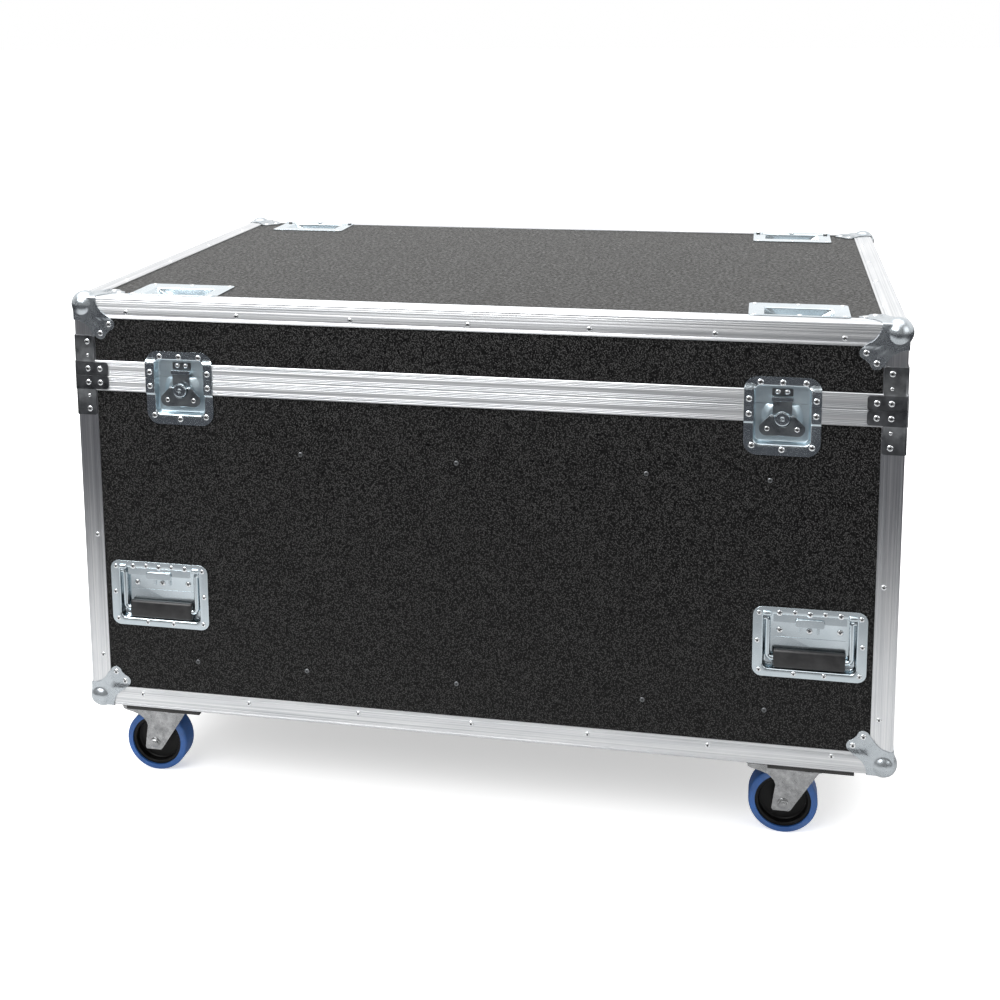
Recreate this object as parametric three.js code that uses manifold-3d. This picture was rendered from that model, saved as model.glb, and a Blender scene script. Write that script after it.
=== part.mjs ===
// Wheeled equipment case with a hinged lid: millimetres, +Z up, standing on z = 0.
// The origin is under the middle of the case, and the latches are on the -Y face.
import * as THREE from 'three';
import { mergeVertices } from 'three/addons/utils/BufferGeometryUtils.js';
import Module from 'manifold-3d';

const wasm = await Module();
wasm.setup();

// Case body
const caseLength = 1200;
const caseDepth = 800;
const caseHeight = 645;
const lidHeight = 119.4;
const castorHeight = 128;
const castorBoardThickness = 9;
const panelThickness = 12;
const fitGap = 0.3;
const overrun = 20;

// Angle extrusions on the edges
const edgeWidth = 31.8;
const edgeWall = 1.5;
const edgeRound = 2.5;

// Tongue and groove extrusions at the seam
const closureHeight = 22.8;
const closureProud = 1.2;
const closureWeb = 1.5;
const closureInnerLeg = 12;
const seamGap = 0.5;
const tongueWidth = 2.4;
const tongueHeight = 4.5;
const tongueClearance = 0.8;
const grooveRoof = 1.5;

// Corner braces at the seam
const braceThickness = 1.5;
const braceFootLength = 53;
const braceFootMargin = 2.6;
const braceLegWidth = 31.5;
const braceLegLength = 37.5;

// Ball corners
const ballRadius = 20;
const ballStandOut = 7;
const cornerThickness = 1.2;
const cornerReach = 35.5;
const cornerRelief = 9.2;
const scallopCentre = 66;
const lobeNear = 41;
const lobeFar = 55;
const lobeRadius = 9;
const scallopTurn = Math.PI * 0.36;
const lobeStart = -Math.PI * 0.35;
const lobeEnd = Math.PI * 0.45;

// Recessed butterfly latches
const latchSideInset = 111;
const latchWidth = 104;
const latchAboveSeam = 40.6;
const latchBelowSeam = 70.4;
const latchRound = 19;
const dishThickness = 1.2;
const latchPocketWidth = 76;
const latchPocketAbove = 27.4;
const latchPocketBelow = 54.6;
const pocketRound = 8;
const spindleBelowSeam = 18.2;
const spindleRadius = 6;
const spindleHeadRadius = 10.5;
const spindleHeadThickness = 3.4;
const spindleHeadChamfer = 0.9;
const bossBaseRadius = 27;
const bossTopRadius = 19;
const bossHeight = 4;
const armWidth = 26;
const armThickness = 1.5;
const armRound = 3;
const armBelowSpindle = 24;
const armAboveSeam = 9.6;
const armCurl = 1;
const armTravel = 8;
const wingThickness = 1.6;
const wingGap = 2.2;
const wingTopHalf = 16.5;
const wingTopRise = 4.2;
const wingEarRadius = 11;
const wingEarOut = 20.1;
const wingEarDrop = 14.6;
const wingSlope = Math.PI * 0.13;
const wingPinRise = 3.2;
const wingPinRadius = 0.8;
const wingKnuckleRadius = 2;
const keeperThickness = 1.3;
const keeperLow = 4.8;
const keeperHigh = 10.8;
const keeperPadLow = 11.4;
const keeperPadHigh = 21.4;
const keeperPadThickness = 1.2;

// Recessed sprung handles
const handleSideInset = 40;
const handleRise = 185.4;
const handleWidth = 156;
const handleHeight = 103;
const handleRound = 13;
const handlePocketWidth = 127.4;
const handlePocketHeight = 80;
const handlePocketTopRound = 1.5;
const bailRadius = 4;
const bailHalfSpan = 57.4;
const bailPivotDrop = 6.4;
const gripLength = 99;
const gripHeight = 27;
const gripDepth = 11;
const gripFloorGap = 0.8;
const gripBottomGap = 0.8;
const gripRound = 5;
const hoodLength = 100;
const hoodDrop = 10;

// Castor cups in the lid
const cupEndInset = 74;
const cupSideInset = 24.95;
const cupLength = 138;
const cupWidth = 92.5;
const cupRound = 7;
const cupPocketLength = 94;
const cupPocketFloor = 60;
const cupPocketWidth = 52;
const cupPocketInset = 61.4;
const cupDepth = 13;

// Continuous hinge on the back
const hingeEndInset = 70;
const hingeRadius = 2.5;
const hingePinRadius = 1.2;
const hingeLeafHeight = 19;
const hingeLeafThickness = 1.4;
const hingeKnuckles = 9;
const hingeEndPlay = 0.6;

// Swivel castors
const castorInsetX = 111;
const castorInsetY = 78;
const castorBoardLength = 120;
const castorBoardWidth = 140;
const castorPlateThickness = 3;
const castorPlateLength = 105;
const castorPlateWidth = 85;
const castorPlateRound = 8;
const swivelRadius = 29;
const crownRadius = 38;
const crownHeight = 4;
const kingPinRadius = 6;
const kingPinHead = 10;
const kingPinHeadThickness = 2.4;
const forkThickness = 2.6;
const forkWeb = 3;
const forkSideGap = 2.6;
const forkReach = 97;
const forkTipDrop = 6.6;
const forkTipRound = 9;
const forkSkirtOut = 34;
const forkSkirtDrop = 13;
const forkFilletOut = 22.4;
const forkFilletDrop = 17;
const forkNeckOut = 11.2;
const forkNeckDrop = 31;
const forkLegOut = 16.4;
const forkLegLead = 11.8;
const forkLegDrop = 12;
const forkHeelReach = 20;
const wheelRadius = 50;
const wheelOffset = 36;
const wheelTopGap = 8;
const tyreWidth = 36;
const tyreThickness = 9.4;
const tyreShoulder = 2.6;
const hubWidth = 30;
const hubBossWidth = 40;
const hubBossRadius = 13;
const hubWeb = 9;
const hubRimInset = 6.5;
const axleRadius = 5;
const axleHeadRadius = 8.4;
const axleHeadThickness = 4.5;

// Values worked out from the driving dimensions
const halfLength = caseLength / 2;
const halfDepth = caseDepth / 2;
const bottomZ = castorHeight + castorBoardThickness;
const topZ = bottomZ + caseHeight;
const seamZ = topZ - lidHeight;
const panelOuter = edgeWall + fitGap;
const panelInner = panelOuter + panelThickness;
const closureInner = panelInner + fitGap;
const baseSeamZ = seamZ - seamGap / 2;
const lidSeamZ = seamZ + seamGap / 2;
const grooveDeep = tongueHeight + tongueClearance;
const lidWeb = grooveDeep + grooveRoof;
const basePanelTop = baseSeamZ - closureWeb - fitGap;
const lidPanelBottom = lidSeamZ + lidWeb + fitGap;
const tongueMiddle = panelOuter + panelThickness / 2;
const panelFaceY = -halfDepth + panelOuter;
const closureFaceY = -halfDepth - closureProud;
const flangeY = panelFaceY - fitGap - dishThickness;
const flangeProudY = closureFaceY - fitGap - dishThickness;
const dishBackY = -halfDepth + panelInner;
const dishFloorY = dishBackY - dishThickness;
const hingeLength = caseLength - hingeEndInset * 2;
const arcFacets = 3;
const earFacets = 4;
const roundSteps = 24;
const plainSteps = 16;
const hubSteps = 12;
const ballSteps = 12;
const smallSteps = 8;
const hexSteps = 6;
const gripFacets = 2;
const joinLimit = fitGap / 100;

const root = new THREE.Group();
const axisX = new THREE.Vector3(1, 0, 0);
const axisY = new THREE.Vector3(0, 1, 0);
const axisZ = new THREE.Vector3(0, 0, 1);

// Materials
function finish(color, roughness, metalness) {
  return new THREE.MeshStandardMaterial({ color, roughness, metalness });
}

// Solids and booleans
function solidOf(geometry) {
  const bare = geometry.clone();
  bare.deleteAttribute('normal');
  bare.deleteAttribute('uv');
  const merged = mergeVertices(bare);
  const index = merged.index.array;
  const triangles = [];
  for (let i = 0; i < index.length; i += 3) {
    const [a, b, c] = [index[i], index[i + 1], index[i + 2]];
    if (a !== b && b !== c && c !== a) triangles.push(a, b, c);
  }
  const mesh = new wasm.Mesh({
    numProp: 3,
    vertProperties: Float32Array.from(merged.attributes.position.array),
    triVerts: Uint32Array.from(triangles),
  });
  return new wasm.Manifold(mesh);
}

function joined(...solids) {
  return solids.flat().reduce((whole, next) => whole.add(next));
}

function cut(solid, ...tools) {
  return tools.flat().reduce((rest, next) => rest.subtract(next), solid);
}

function block(x0, x1, y0, y1, z0, z1) {
  const geometry = new THREE.BoxGeometry(x1 - x0, y1 - y0, z1 - z0);
  geometry.translate((x0 + x1) / 2, (y0 + y1) / 2, (z0 + z1) / 2);
  return solidOf(geometry);
}

// An outline drawn in YZ, XZ or XY and swept along the axis that is left
function prism(shape, along, from, to) {
  const geometry = new THREE.ExtrudeGeometry(shape, { depth: to - from, bevelEnabled: false });
  const basis = new THREE.Matrix4();
  if (along === 'x') {
    basis.makeBasis(axisY, axisZ, axisX).setPosition(from, 0, 0);
  } else if (along === 'y') {
    basis.makeBasis(axisX, axisZ, axisY.clone().negate()).setPosition(0, to, 0);
  } else {
    basis.setPosition(0, 0, from);
  }
  geometry.applyMatrix4(basis);
  return solidOf(geometry);
}

// A circular run of an outline in straight facets
function arc(shape, a, b, radius, from, to, facets = arcFacets) {
  for (let i = 0; i <= facets; i += 1) {
    const angle = from + (to - from) * i / facets;
    shape.lineTo(a + radius * Math.cos(angle), b + radius * Math.sin(angle));
  }
}

function outline(points) {
  return new THREE.Shape(points.map(([a, b]) => new THREE.Vector2(a, b)));
}

// A rectangle with its corners rounded, in the order low-low, high-low, high-high, low-high
function roundedRectangle(a0, a1, b0, b1, radii, facets = arcFacets) {
  const [r0, r1, r2, r3] = Array.isArray(radii) ? radii : [radii, radii, radii, radii];
  const shape = new THREE.Shape();
  const quarter = Math.PI / 2;
  shape.moveTo(a0 + r0, b0);
  shape.lineTo(a1 - r1, b0);
  if (r1 > 0) arc(shape, a1 - r1, b0 + r1, r1, -quarter, 0, facets);
  shape.lineTo(a1, b1 - r2);
  if (r2 > 0) arc(shape, a1 - r2, b1 - r2, r2, 0, quarter, facets);
  shape.lineTo(a0 + r3, b1);
  if (r3 > 0) arc(shape, a0 + r3, b1 - r3, r3, quarter, quarter * 2, facets);
  shape.lineTo(a0, b0 + r0);
  if (r0 > 0) arc(shape, a0 + r0, b0 + r0, r0, quarter * 2, quarter * 3, facets);
  return withoutRepeats(shape);
}

// Curves that meet leave the same point twice, which an extrusion can't close
function withoutRepeats(shape) {
  const points = shape.getPoints().filter((point, i, all) => (
    point.distanceTo(all[(i + 1) % all.length]) > joinLimit
  ));
  return new THREE.Shape(points);
}

// A round bar along an axis, its flats at the bottom
function rod(along, radius, from, to, a, b, sides = roundSteps, endRadius = radius) {
  const geometry = new THREE.CylinderGeometry(endRadius, radius, to - from, sides);
  geometry.translate(0, (from + to) / 2, 0);
  if (along === 'x') geometry.rotateZ(-Math.PI / 2).rotateX(Math.PI / sides).translate(0, a, b);
  if (along === 'y') geometry.rotateY(Math.PI / sides).translate(a, 0, b);
  if (along === 'z') geometry.rotateX(Math.PI / 2).translate(a, b, 0);
  return solidOf(geometry);
}

// A profile turned about the Y axis, a flat at the bottom
function turned(points, sides) {
  const profile = points.map(([r, h]) => new THREE.Vector2(r, h));
  return solidOf(new THREE.LatheGeometry(profile, sides, Math.PI / sides));
}

// The radius of a faceted bore that a round bar turns in freely
function boreFor(radius, sides) {
  return (radius + fitGap) / Math.cos(Math.PI / sides);
}

function addMesh(name, solid, material, place = {}) {
  const result = solid.getMesh();
  const geometry = new THREE.BufferGeometry();
  geometry.setAttribute('position', new THREE.BufferAttribute(result.vertProperties, 3));
  geometry.setIndex(new THREE.BufferAttribute(result.triVerts, 1));
  geometry.computeVertexNormals();
  const mesh = new THREE.Mesh(geometry, material);
  mesh.name = name;
  mesh.position.copy(place.position ?? new THREE.Vector3());
  mesh.rotation.copy(place.rotation ?? new THREE.Euler());
  root.add(mesh);
  return mesh;
}

// Insets from the case sides, so that a ring follows the outside at one depth
function ring(outerInset, innerInset, z0, z1) {
  return cut(inset(outerInset, z0, z1), inset(innerInset, z0 - overrun, z1 + overrun));
}

function inset(depth, z0, z1) {
  const x = halfLength - depth;
  const y = halfDepth - depth;
  return block(-x, x, -y, y, z0, z1);
}

// The case's outside with its edges rounded
function envelope() {
  const along = roundedRectangle(-halfDepth, halfDepth, bottomZ, topZ, edgeRound);
  const across = roundedRectangle(-halfLength, halfLength, bottomZ, topZ, edgeRound);
  const plan = roundedRectangle(-halfLength, halfLength, -halfDepth, halfDepth, edgeRound);
  return prism(along, 'x', -halfLength - overrun, halfLength + overrun)
    .intersect(prism(across, 'y', -halfDepth - overrun, halfDepth + overrun))
    .intersect(prism(plan, 'z', bottomZ - overrun, topZ + overrun));
}

// Edge frame: angle extrusions on the horizontal edges at one end, and its posts
function edgeFrame(z0, z1, bandZ, outerZ, inward) {
  const leg = halfLength - edgeWidth;
  const side = halfDepth - edgeWidth;
  const openLow = inward > 0 ? bandZ + edgeWidth : z0 - overrun;
  const openHigh = inward > 0 ? z1 + overrun : bandZ;
  const hollowLow = inward > 0 ? outerZ + edgeWall : z0 - overrun;
  const hollowHigh = inward > 0 ? z1 + overrun : outerZ - edgeWall;
  const shell = envelope().intersect(inset(-overrun, z0, z1));
  const hollow = inset(edgeWall, hollowLow, hollowHigh);
  const plan = block(-leg, leg, -side, side, z0 - overrun, z1 + overrun);
  const front = block(-leg, leg, -halfDepth - overrun, halfDepth + overrun, openLow, openHigh);
  const flank = block(-halfLength - overrun, halfLength + overrun, -side, side, openLow, openHigh);
  return cut(shell, hollow, plan, front, flank, ballRooms(outerZ, inward));
}

// Room for the inner side of a ball at each corner of one end of the case
function ballRooms(outerZ, inward) {
  const room = cornerRelief + fitGap;
  const low = Math.min(outerZ - inward * overrun, outerZ + inward * room);
  const high = Math.max(outerZ - inward * overrun, outerZ + inward * room);
  return [-1, 1].flatMap((sx) => [-1, 1].map((sy) => cornerColumn(sx, sy, room, low, high)));
}

const aluminium = finish(0xb9bcc0, 0.38, 0.9);
const postTop = seamZ - closureHeight - fitGap;
const postBottom = seamZ + closureHeight + fitGap;
const baseFrame = edgeFrame(bottomZ, postTop, bottomZ, bottomZ, 1);
addMesh('base_edge_frame', baseFrame, aluminium);
const lidFrame = edgeFrame(postBottom, topZ, topZ - edgeWidth, topZ, -1);
addMesh('lid_edge_frame', lidFrame, aluminium);

// Braces that tie the closure extrusion to the posts, one at each corner
function braces(upward) {
  const direction = upward ? 1 : -1;
  const footStart = upward ? lidSeamZ : baseSeamZ;
  const footEnd = footStart + direction * (closureHeight - braceFootMargin);
  const legStart = seamZ + direction * (closureHeight + fitGap);
  const legEnd = legStart + direction * braceLegLength;
  const low = Math.min(legStart, legEnd);
  const high = Math.max(legStart, legEnd);
  const footLow = Math.min(footStart, footEnd);
  const footHigh = Math.max(footStart, footEnd);
  const joinLow = Math.min(legStart, footEnd - direction * fitGap);
  const joinHigh = Math.max(legStart, footEnd - direction * fitGap);
  const legSkin = fitGap + braceThickness;
  const footSkin = closureProud + braceThickness;
  const legs = ring(-legSkin, -fitGap, low, high);
  const feet = ring(-footSkin, -closureProud + edgeWall, footLow, footHigh);
  const join = ring(-footSkin, -fitGap, joinLow, joinHigh);
  const pieces = [];
  for (const sx of [-1, 1]) {
    for (const sy of [-1, 1]) {
      pieces.push(legs.intersect(cornerColumn(sx, sy, braceLegWidth, low, high)));
      pieces.push(feet.intersect(cornerColumn(sx, sy, braceFootLength, footLow, footHigh)));
      pieces.push(join.intersect(cornerColumn(sx, sy, braceLegWidth, joinLow, joinHigh)));
    }
  }
  return pieces;
}

// A square column round one corner of the case, as wide inward as the length given
function cornerColumn(sx, sy, length, z0, z1) {
  const out = overrun;
  const x = [sx * (halfLength - length), sx * (halfLength + out)].sort((p, q) => p - q);
  const y = [sy * (halfDepth - length), sy * (halfDepth + out)].sort((p, q) => p - q);
  return block(x[0], x[1], y[0], y[1], z0, z1);
}

const latchX = halfLength - latchSideInset - latchWidth / 2;
const latchSides = [['left', -latchX], ['right', latchX]];
const pocketOuterHalf = latchPocketWidth / 2 + dishThickness;

// Room for a latch dish through a closure extrusion, its inner leg left whole
function latchRoom(x, backY, z0, z1, margin = fitGap) {
  const half = pocketOuterHalf + margin;
  return block(x - half, x + half, -halfDepth - overrun, backY, z0, z1);
}

// Base closure extrusion with its tongue, open along the hinge side
function baseClosure() {
  const legLow = seamZ - closureHeight;
  const leg = ring(-closureProud, edgeWall, legLow, baseSeamZ);
  const web = ring(-closureProud, closureInner + closureWeb, baseSeamZ - closureWeb, baseSeamZ);
  const innerLow = baseSeamZ - closureWeb - closureInnerLeg;
  const inner = ring(closureInner, closureInner + closureWeb, innerLow, baseSeamZ);
  const tongueOut = tongueMiddle - tongueWidth / 2;
  const tongueIn = tongueMiddle + tongueWidth / 2;
  const tongue = ring(tongueOut, tongueIn, baseSeamZ - closureWeb / 2, seamZ + tongueHeight);
  const backStop = halfDepth - closureInner - closureWeb;
  const back = block(
    -halfLength, halfLength, backStop, halfDepth + overrun, baseSeamZ, seamZ + tongueHeight + overrun,
  );
  const body = joined(leg, web, inner, cut(tongue, back));
  const rooms = latchSides.map(([, x]) => (
    latchRoom(x, -halfDepth + closureInner, legLow - overrun, seamZ + overrun)
  ));
  return joined(cut(body, rooms), braces(false));
}

// Lid closure extrusion with the groove that the tongue fits
function lidClosure() {
  const legHigh = seamZ + closureHeight;
  const leg = ring(-closureProud, edgeWall, lidSeamZ, legHigh);
  const web = ring(-closureProud, closureInner + closureWeb, lidSeamZ, lidSeamZ + lidWeb);
  const innerHigh = lidSeamZ + lidWeb + closureInnerLeg;
  const inner = ring(closureInner, closureInner + closureWeb, lidSeamZ, innerHigh);
  const slotOut = tongueMiddle - tongueWidth / 2 - tongueClearance;
  const slotIn = tongueMiddle + tongueWidth / 2 + tongueClearance;
  const slot = ring(slotOut, slotIn, lidSeamZ - overrun, lidSeamZ + grooveDeep);
  const body = cut(joined(leg, web, inner), slot);
  const rooms = latchSides.map(([, x]) => (
    latchRoom(x, -halfDepth + closureInner, seamZ - overrun, legHigh + overrun)
  ));
  return joined(cut(body, rooms), braces(true));
}

addMesh('base_closure_frame', baseClosure(), aluminium.clone());
addMesh('lid_closure_frame', lidClosure(), aluminium.clone());

// Panels
const laminate = finish(0x1b1c1e, 0.7, 0);
const handleX = halfLength - handleSideInset - handleWidth / 2;
const handleZ = bottomZ + handleRise;
const castorX = halfLength - castorInsetX;
const castorY = halfDepth - castorInsetY;
const floorTop = bottomZ + panelInner;
const wallBottom = floorTop + fitGap;
const sideInnerX = halfLength - panelInner;
const frontInnerY = halfDepth - panelInner;

// Through holes for the handle dishes in a front or back panel
function handleRooms(y0, y1) {
  return [-handleX, handleX].map((x) => prism(handlePocket(x, dishThickness + fitGap), 'y', y0, y1));
}

// The handle's pocket, swelled by a wall or a gap
function handlePocket(x, swell) {
  const halfWidth = handlePocketWidth / 2 + swell;
  const halfHeight = handlePocketHeight / 2 + swell;
  const low = pocketRound + swell;
  const high = handlePocketTopRound + swell;
  return roundedRectangle(
    x - halfWidth, x + halfWidth, handleZ - halfHeight, handleZ + halfHeight, [low, low, high, high],
  );
}

const longHalf = sideInnerX - fitGap;
const frontOuterY = halfDepth - panelOuter;
const throughY = -frontInnerY + fitGap;
const latchRooms = latchSides.map(([, x]) => {
  const half = pocketOuterHalf + fitGap;
  const low = seamZ - latchPocketBelow - dishThickness - fitGap;
  const corner = pocketRound + dishThickness + fitGap;
  const shape = roundedRectangle(x - half, x + half, low, seamZ + overrun, [corner, corner, 0, 0]);
  return prism(shape, 'y', -halfDepth - overrun, throughY);
});
const frontWall = block(-longHalf, longHalf, -frontOuterY, -frontInnerY, wallBottom, basePanelTop);
const frontPanel = cut(frontWall, latchRooms, handleRooms(-halfDepth - overrun, throughY));
addMesh('base_front_panel', frontPanel, laminate);
const backWall = block(-longHalf, longHalf, frontInnerY, frontOuterY, wallBottom, basePanelTop);
const backPanel = cut(backWall, handleRooms(-throughY, halfDepth + overrun));
addMesh('base_back_panel', backPanel, laminate.clone());
for (const [name, sx] of [['base_left_panel', -1], ['base_right_panel', 1]]) {
  const xs = [sx * (halfLength - panelOuter), sx * sideInnerX].sort((p, q) => p - q);
  const wall = block(xs[0], xs[1], -frontOuterY, frontOuterY, wallBottom, basePanelTop);
  addMesh(name, wall, laminate.clone());
}
const birch = finish(0xc9a877, 0.75, 0);
const floorSlab = inset(panelOuter, bottomZ + panelOuter, floorTop);
addMesh('base_floor_panel', cut(floorSlab, ballRooms(bottomZ, 1)), birch);

// Lid walls in one ring, notched for the upper latch dishes
const lidRoofLow = topZ - panelInner;
const lidRing = ring(panelOuter, panelInner, lidPanelBottom, lidRoofLow - fitGap);
const upperRooms = latchSides.map(([, x]) => {
  const half = pocketOuterHalf + fitGap;
  const high = seamZ + latchPocketAbove + dishThickness + fitGap;
  const corner = pocketRound + dishThickness + fitGap;
  const shape = roundedRectangle(x - half, x + half, seamZ - overrun, high, [0, 0, corner, corner]);
  return prism(shape, 'y', -halfDepth - overrun, -frontInnerY + overrun);
});
addMesh('lid_wall_panel', cut(lidRing, upperRooms), laminate.clone());

// Castor cups: a pressed tray with sloping ends, its outer flange over the extrusion
const zinc = finish(0xa9b4ba, 0.32, 0.85);
const cupPlateTop = topZ - panelOuter + fitGap + dishThickness;
const cupPlaces = [
  ['front_left', -1, -1],
  ['front_right', 1, -1],
  ['back_left', -1, 1],
  ['back_right', 1, 1],
];
const cupX = halfLength - cupEndInset - cupLength / 2;
const cupY = halfDepth - cupSideInset - cupWidth / 2;

function cupTray(swell) {
  const top = cupPlateTop;
  const low = top - cupDepth - swell;
  const half = cupPocketLength / 2 + swell;
  const floorHalf = cupPocketFloor / 2 + swell / 2;
  const profile = outline([
    [-half, top + overrun], [-half, top - dishThickness - swell], [-floorHalf, low],
    [floorHalf, low], [half, top - dishThickness - swell], [half, top + overrun],
  ]);
  const middle = halfDepth - cupPocketInset;
  const reach = cupPocketWidth / 2 + swell;
  return prism(profile, 'y', -middle - reach, -middle + reach);
}

// The cup as it sits at the front, its middle on x = 0
function castorCup() {
  const low = cupPlateTop - dishThickness;
  const highTop = topZ + fitGap + dishThickness;
  const stepY = -halfDepth + edgeWidth + fitGap;
  const plan = roundedRectangle(
    -cupLength / 2, cupLength / 2, -cupY - cupWidth / 2, -cupY + cupWidth / 2, cupRound,
  );
  const plate = prism(plan, 'z', low, highTop);
  const beyond = cupLength;
  const shave = block(-beyond, beyond, stepY + dishThickness, halfDepth, cupPlateTop, highTop + overrun);
  const overEdge = block(-beyond, beyond, -halfDepth - overrun, stepY, low - overrun, topZ + fitGap);
  const flange = cut(plate, shave, overEdge);
  const tray = cupTray(dishThickness).intersect(
    block(-beyond, beyond, -halfDepth, halfDepth, bottomZ, cupPlateTop),
  );
  return cut(joined(flange, tray), cupTray(0));
}

const cupSolid = castorCup();
for (const [name, sx, sy] of cupPlaces) {
  addMesh(`castor_cup_${name}`, cupSolid, zinc.clone(), {
    position: new THREE.Vector3(sx * cupX, 0, 0),
    rotation: new THREE.Euler(0, 0, sy > 0 ? Math.PI : 0),
  });
}

const roofReach = halfDepth - cupPocketInset;
const roofHoleX = cupPocketLength / 2 + dishThickness + fitGap;
const roofHoleY = cupPocketWidth / 2 + dishThickness + fitGap;
const roofHoles = cupPlaces.map(([, sx, sy]) => block(
  sx * cupX - roofHoleX, sx * cupX + roofHoleX,
  sy * roofReach - roofHoleY, sy * roofReach + roofHoleY,
  lidRoofLow - overrun, topZ + overrun,
));
const roofSlab = inset(panelOuter, lidRoofLow, topZ - panelOuter);
addMesh('lid_top_panel', cut(roofSlab, roofHoles, ballRooms(topZ, -1)), laminate.clone());

// Ball corner: drawn with the case corner at the origin and the case towards +X, +Y, +Z
function cornerOutline() {
  const skin = fitGap + cornerThickness;
  const r = scallopCentre - cornerReach;
  const shape = new THREE.Shape();
  shape.moveTo(-skin, -skin);
  shape.lineTo(cornerReach, -skin);
  arc(shape, scallopCentre, 0, r, Math.PI, Math.PI - scallopTurn);
  arc(shape, lobeFar, lobeNear, lobeRadius, lobeStart, lobeEnd);
  arc(shape, lobeNear, lobeFar, lobeRadius, Math.PI / 2 - lobeEnd, Math.PI / 2 - lobeStart);
  arc(shape, 0, scallopCentre, r, scallopTurn - Math.PI / 2, -Math.PI / 2);
  shape.lineTo(-skin, cornerReach);
  return withoutRepeats(shape);
}

function ballCorner() {
  const skin = fitGap + cornerThickness;
  const lobeLow = panelOuter - fitGap;
  const lobeHigh = lobeLow - cornerThickness;
  const step = edgeWidth + fitGap;
  const far = scallopCentre + overrun;
  const before = -skin - overrun;
  const centre = ballRadius - ballStandOut;
  const leg = cut(
    prism(cornerOutline(), 'z', -skin, lobeLow),
    block(before, step, before, far, -fitGap, far),
    block(before, far, before, step, -fitGap, far),
    block(step + cornerThickness, far, step + cornerThickness, far, before, lobeHigh),
    block(before, centre, before, centre, before, far),
  );
  const globe = new THREE.SphereGeometry(ballRadius, ballSteps, ballSteps / 2);
  globe.translate(centre, centre, centre);
  const relief = block(before, cornerRelief, before, cornerRelief, before, cornerRelief);
  const ball = cut(solidOf(globe), cut(block(-fitGap, far, -fitGap, far, -fitGap, far), relief));
  const turns = [new THREE.Matrix4(), new THREE.Matrix4(), new THREE.Matrix4()];
  turns[1].makeBasis(axisY, axisZ, axisX);
  turns[2].makeBasis(axisZ, axisX, axisY);
  return joined(ball, turns.map((turn) => leg.transform(turn.elements.slice())));
}

const cornerSolid = ballCorner();
const cornerPlaces = [
  ['front_left', -1, -1, 0],
  ['front_right', 1, -1, Math.PI / 2],
  ['back_right', 1, 1, Math.PI],
  ['back_left', -1, 1, -Math.PI / 2],
];
for (const [name, sx, sy, turn] of cornerPlaces) {
  addMesh(`base_corner_${name}`, cornerSolid, zinc.clone(), {
    position: new THREE.Vector3(sx * halfLength, sy * halfDepth, bottomZ),
    rotation: new THREE.Euler(0, 0, turn),
  });
  addMesh(`lid_corner_${name}`, cornerSolid, zinc.clone(), {
    position: new THREE.Vector3(sx * halfLength, sy * halfDepth, topZ),
    rotation: new THREE.Euler(Math.PI, 0, -turn - Math.PI / 2),
  });
}

// Latch dishes: a flange that steps out over the closure extrusion, round a square pocket
function flangeOutline(z0, z1, radii) {
  return roundedRectangle(-latchWidth / 2, latchWidth / 2, z0, z1, radii);
}

function latchDish(upper) {
  const direction = upper ? 1 : -1;
  const edge = upper ? lidSeamZ : baseSeamZ;
  const tip = seamZ + direction * (upper ? latchAboveSeam : latchBelowSeam);
  const z0 = Math.min(edge, tip);
  const z1 = Math.max(edge, tip);
  const radii = upper ? [0, 0, latchRound, latchRound] : [latchRound, latchRound, 0, 0];
  const stepZ = seamZ + direction * (closureHeight + fitGap);
  const pastStep = stepZ + direction * dishThickness;
  const plate = prism(flangeOutline(z0, z1, radii), 'y', flangeProudY, flangeY + dishThickness);
  const wide = latchWidth;
  const away = tip + direction * overrun;
  const shave = block(
    -wide, wide, flangeProudY - overrun, flangeY, Math.min(pastStep, away), Math.max(pastStep, away),
  );
  const near = seamZ - direction * overrun;
  const underProud = block(
    -wide, wide, flangeProudY + dishThickness, 0, Math.min(stepZ, near), Math.max(stepZ, near),
  );
  const pocketTip = seamZ + direction * (upper ? latchPocketAbove : latchPocketBelow);
  const outerTip = pocketTip + direction * dishThickness;
  const outerShape = pocketOutline(pocketOuterHalf, edge, outerTip, upper, dishThickness);
  const outer = prism(outerShape, 'y', flangeY, dishBackY);
  const hole = prism(
    pocketOutline(latchPocketWidth / 2, near, pocketTip, upper, 0), 'y', -halfDepth - overrun, dishFloorY,
  );
  const shell = joined(cut(plate, shave, underProud), outer, proudWall(edge, stepZ));
  return cut(shell, hole);
}

// Pocket walls where the flange stands out over the closure extrusion
function proudWall(edge, stepZ) {
  const low = Math.min(edge, stepZ);
  const high = Math.max(edge, stepZ);
  return block(-pocketOuterHalf, pocketOuterHalf, flangeProudY, flangeY, low, high);
}

function pocketOutline(half, edge, tip, upper, extra) {
  const low = Math.min(edge, tip);
  const high = Math.max(edge, tip);
  const corner = pocketRound + extra;
  const radii = upper ? [0, 0, corner, corner] : [corner, corner, 0, 0];
  return roundedRectangle(-half, half, low, high, radii);
}

const spindleZ = seamZ - spindleBelowSeam;
const bossFaceY = dishFloorY - bossHeight;
const armBackY = bossFaceY - fitGap;
const armFrontY = armBackY - armThickness;
const wingBackY = armFrontY - wingGap;
const wingFrontY = wingBackY - wingThickness;
const headBackY = wingFrontY - fitGap;
const headFrontY = headBackY - spindleHeadThickness;
const wingAxisY = (wingBackY + wingFrontY) / 2;

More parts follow.
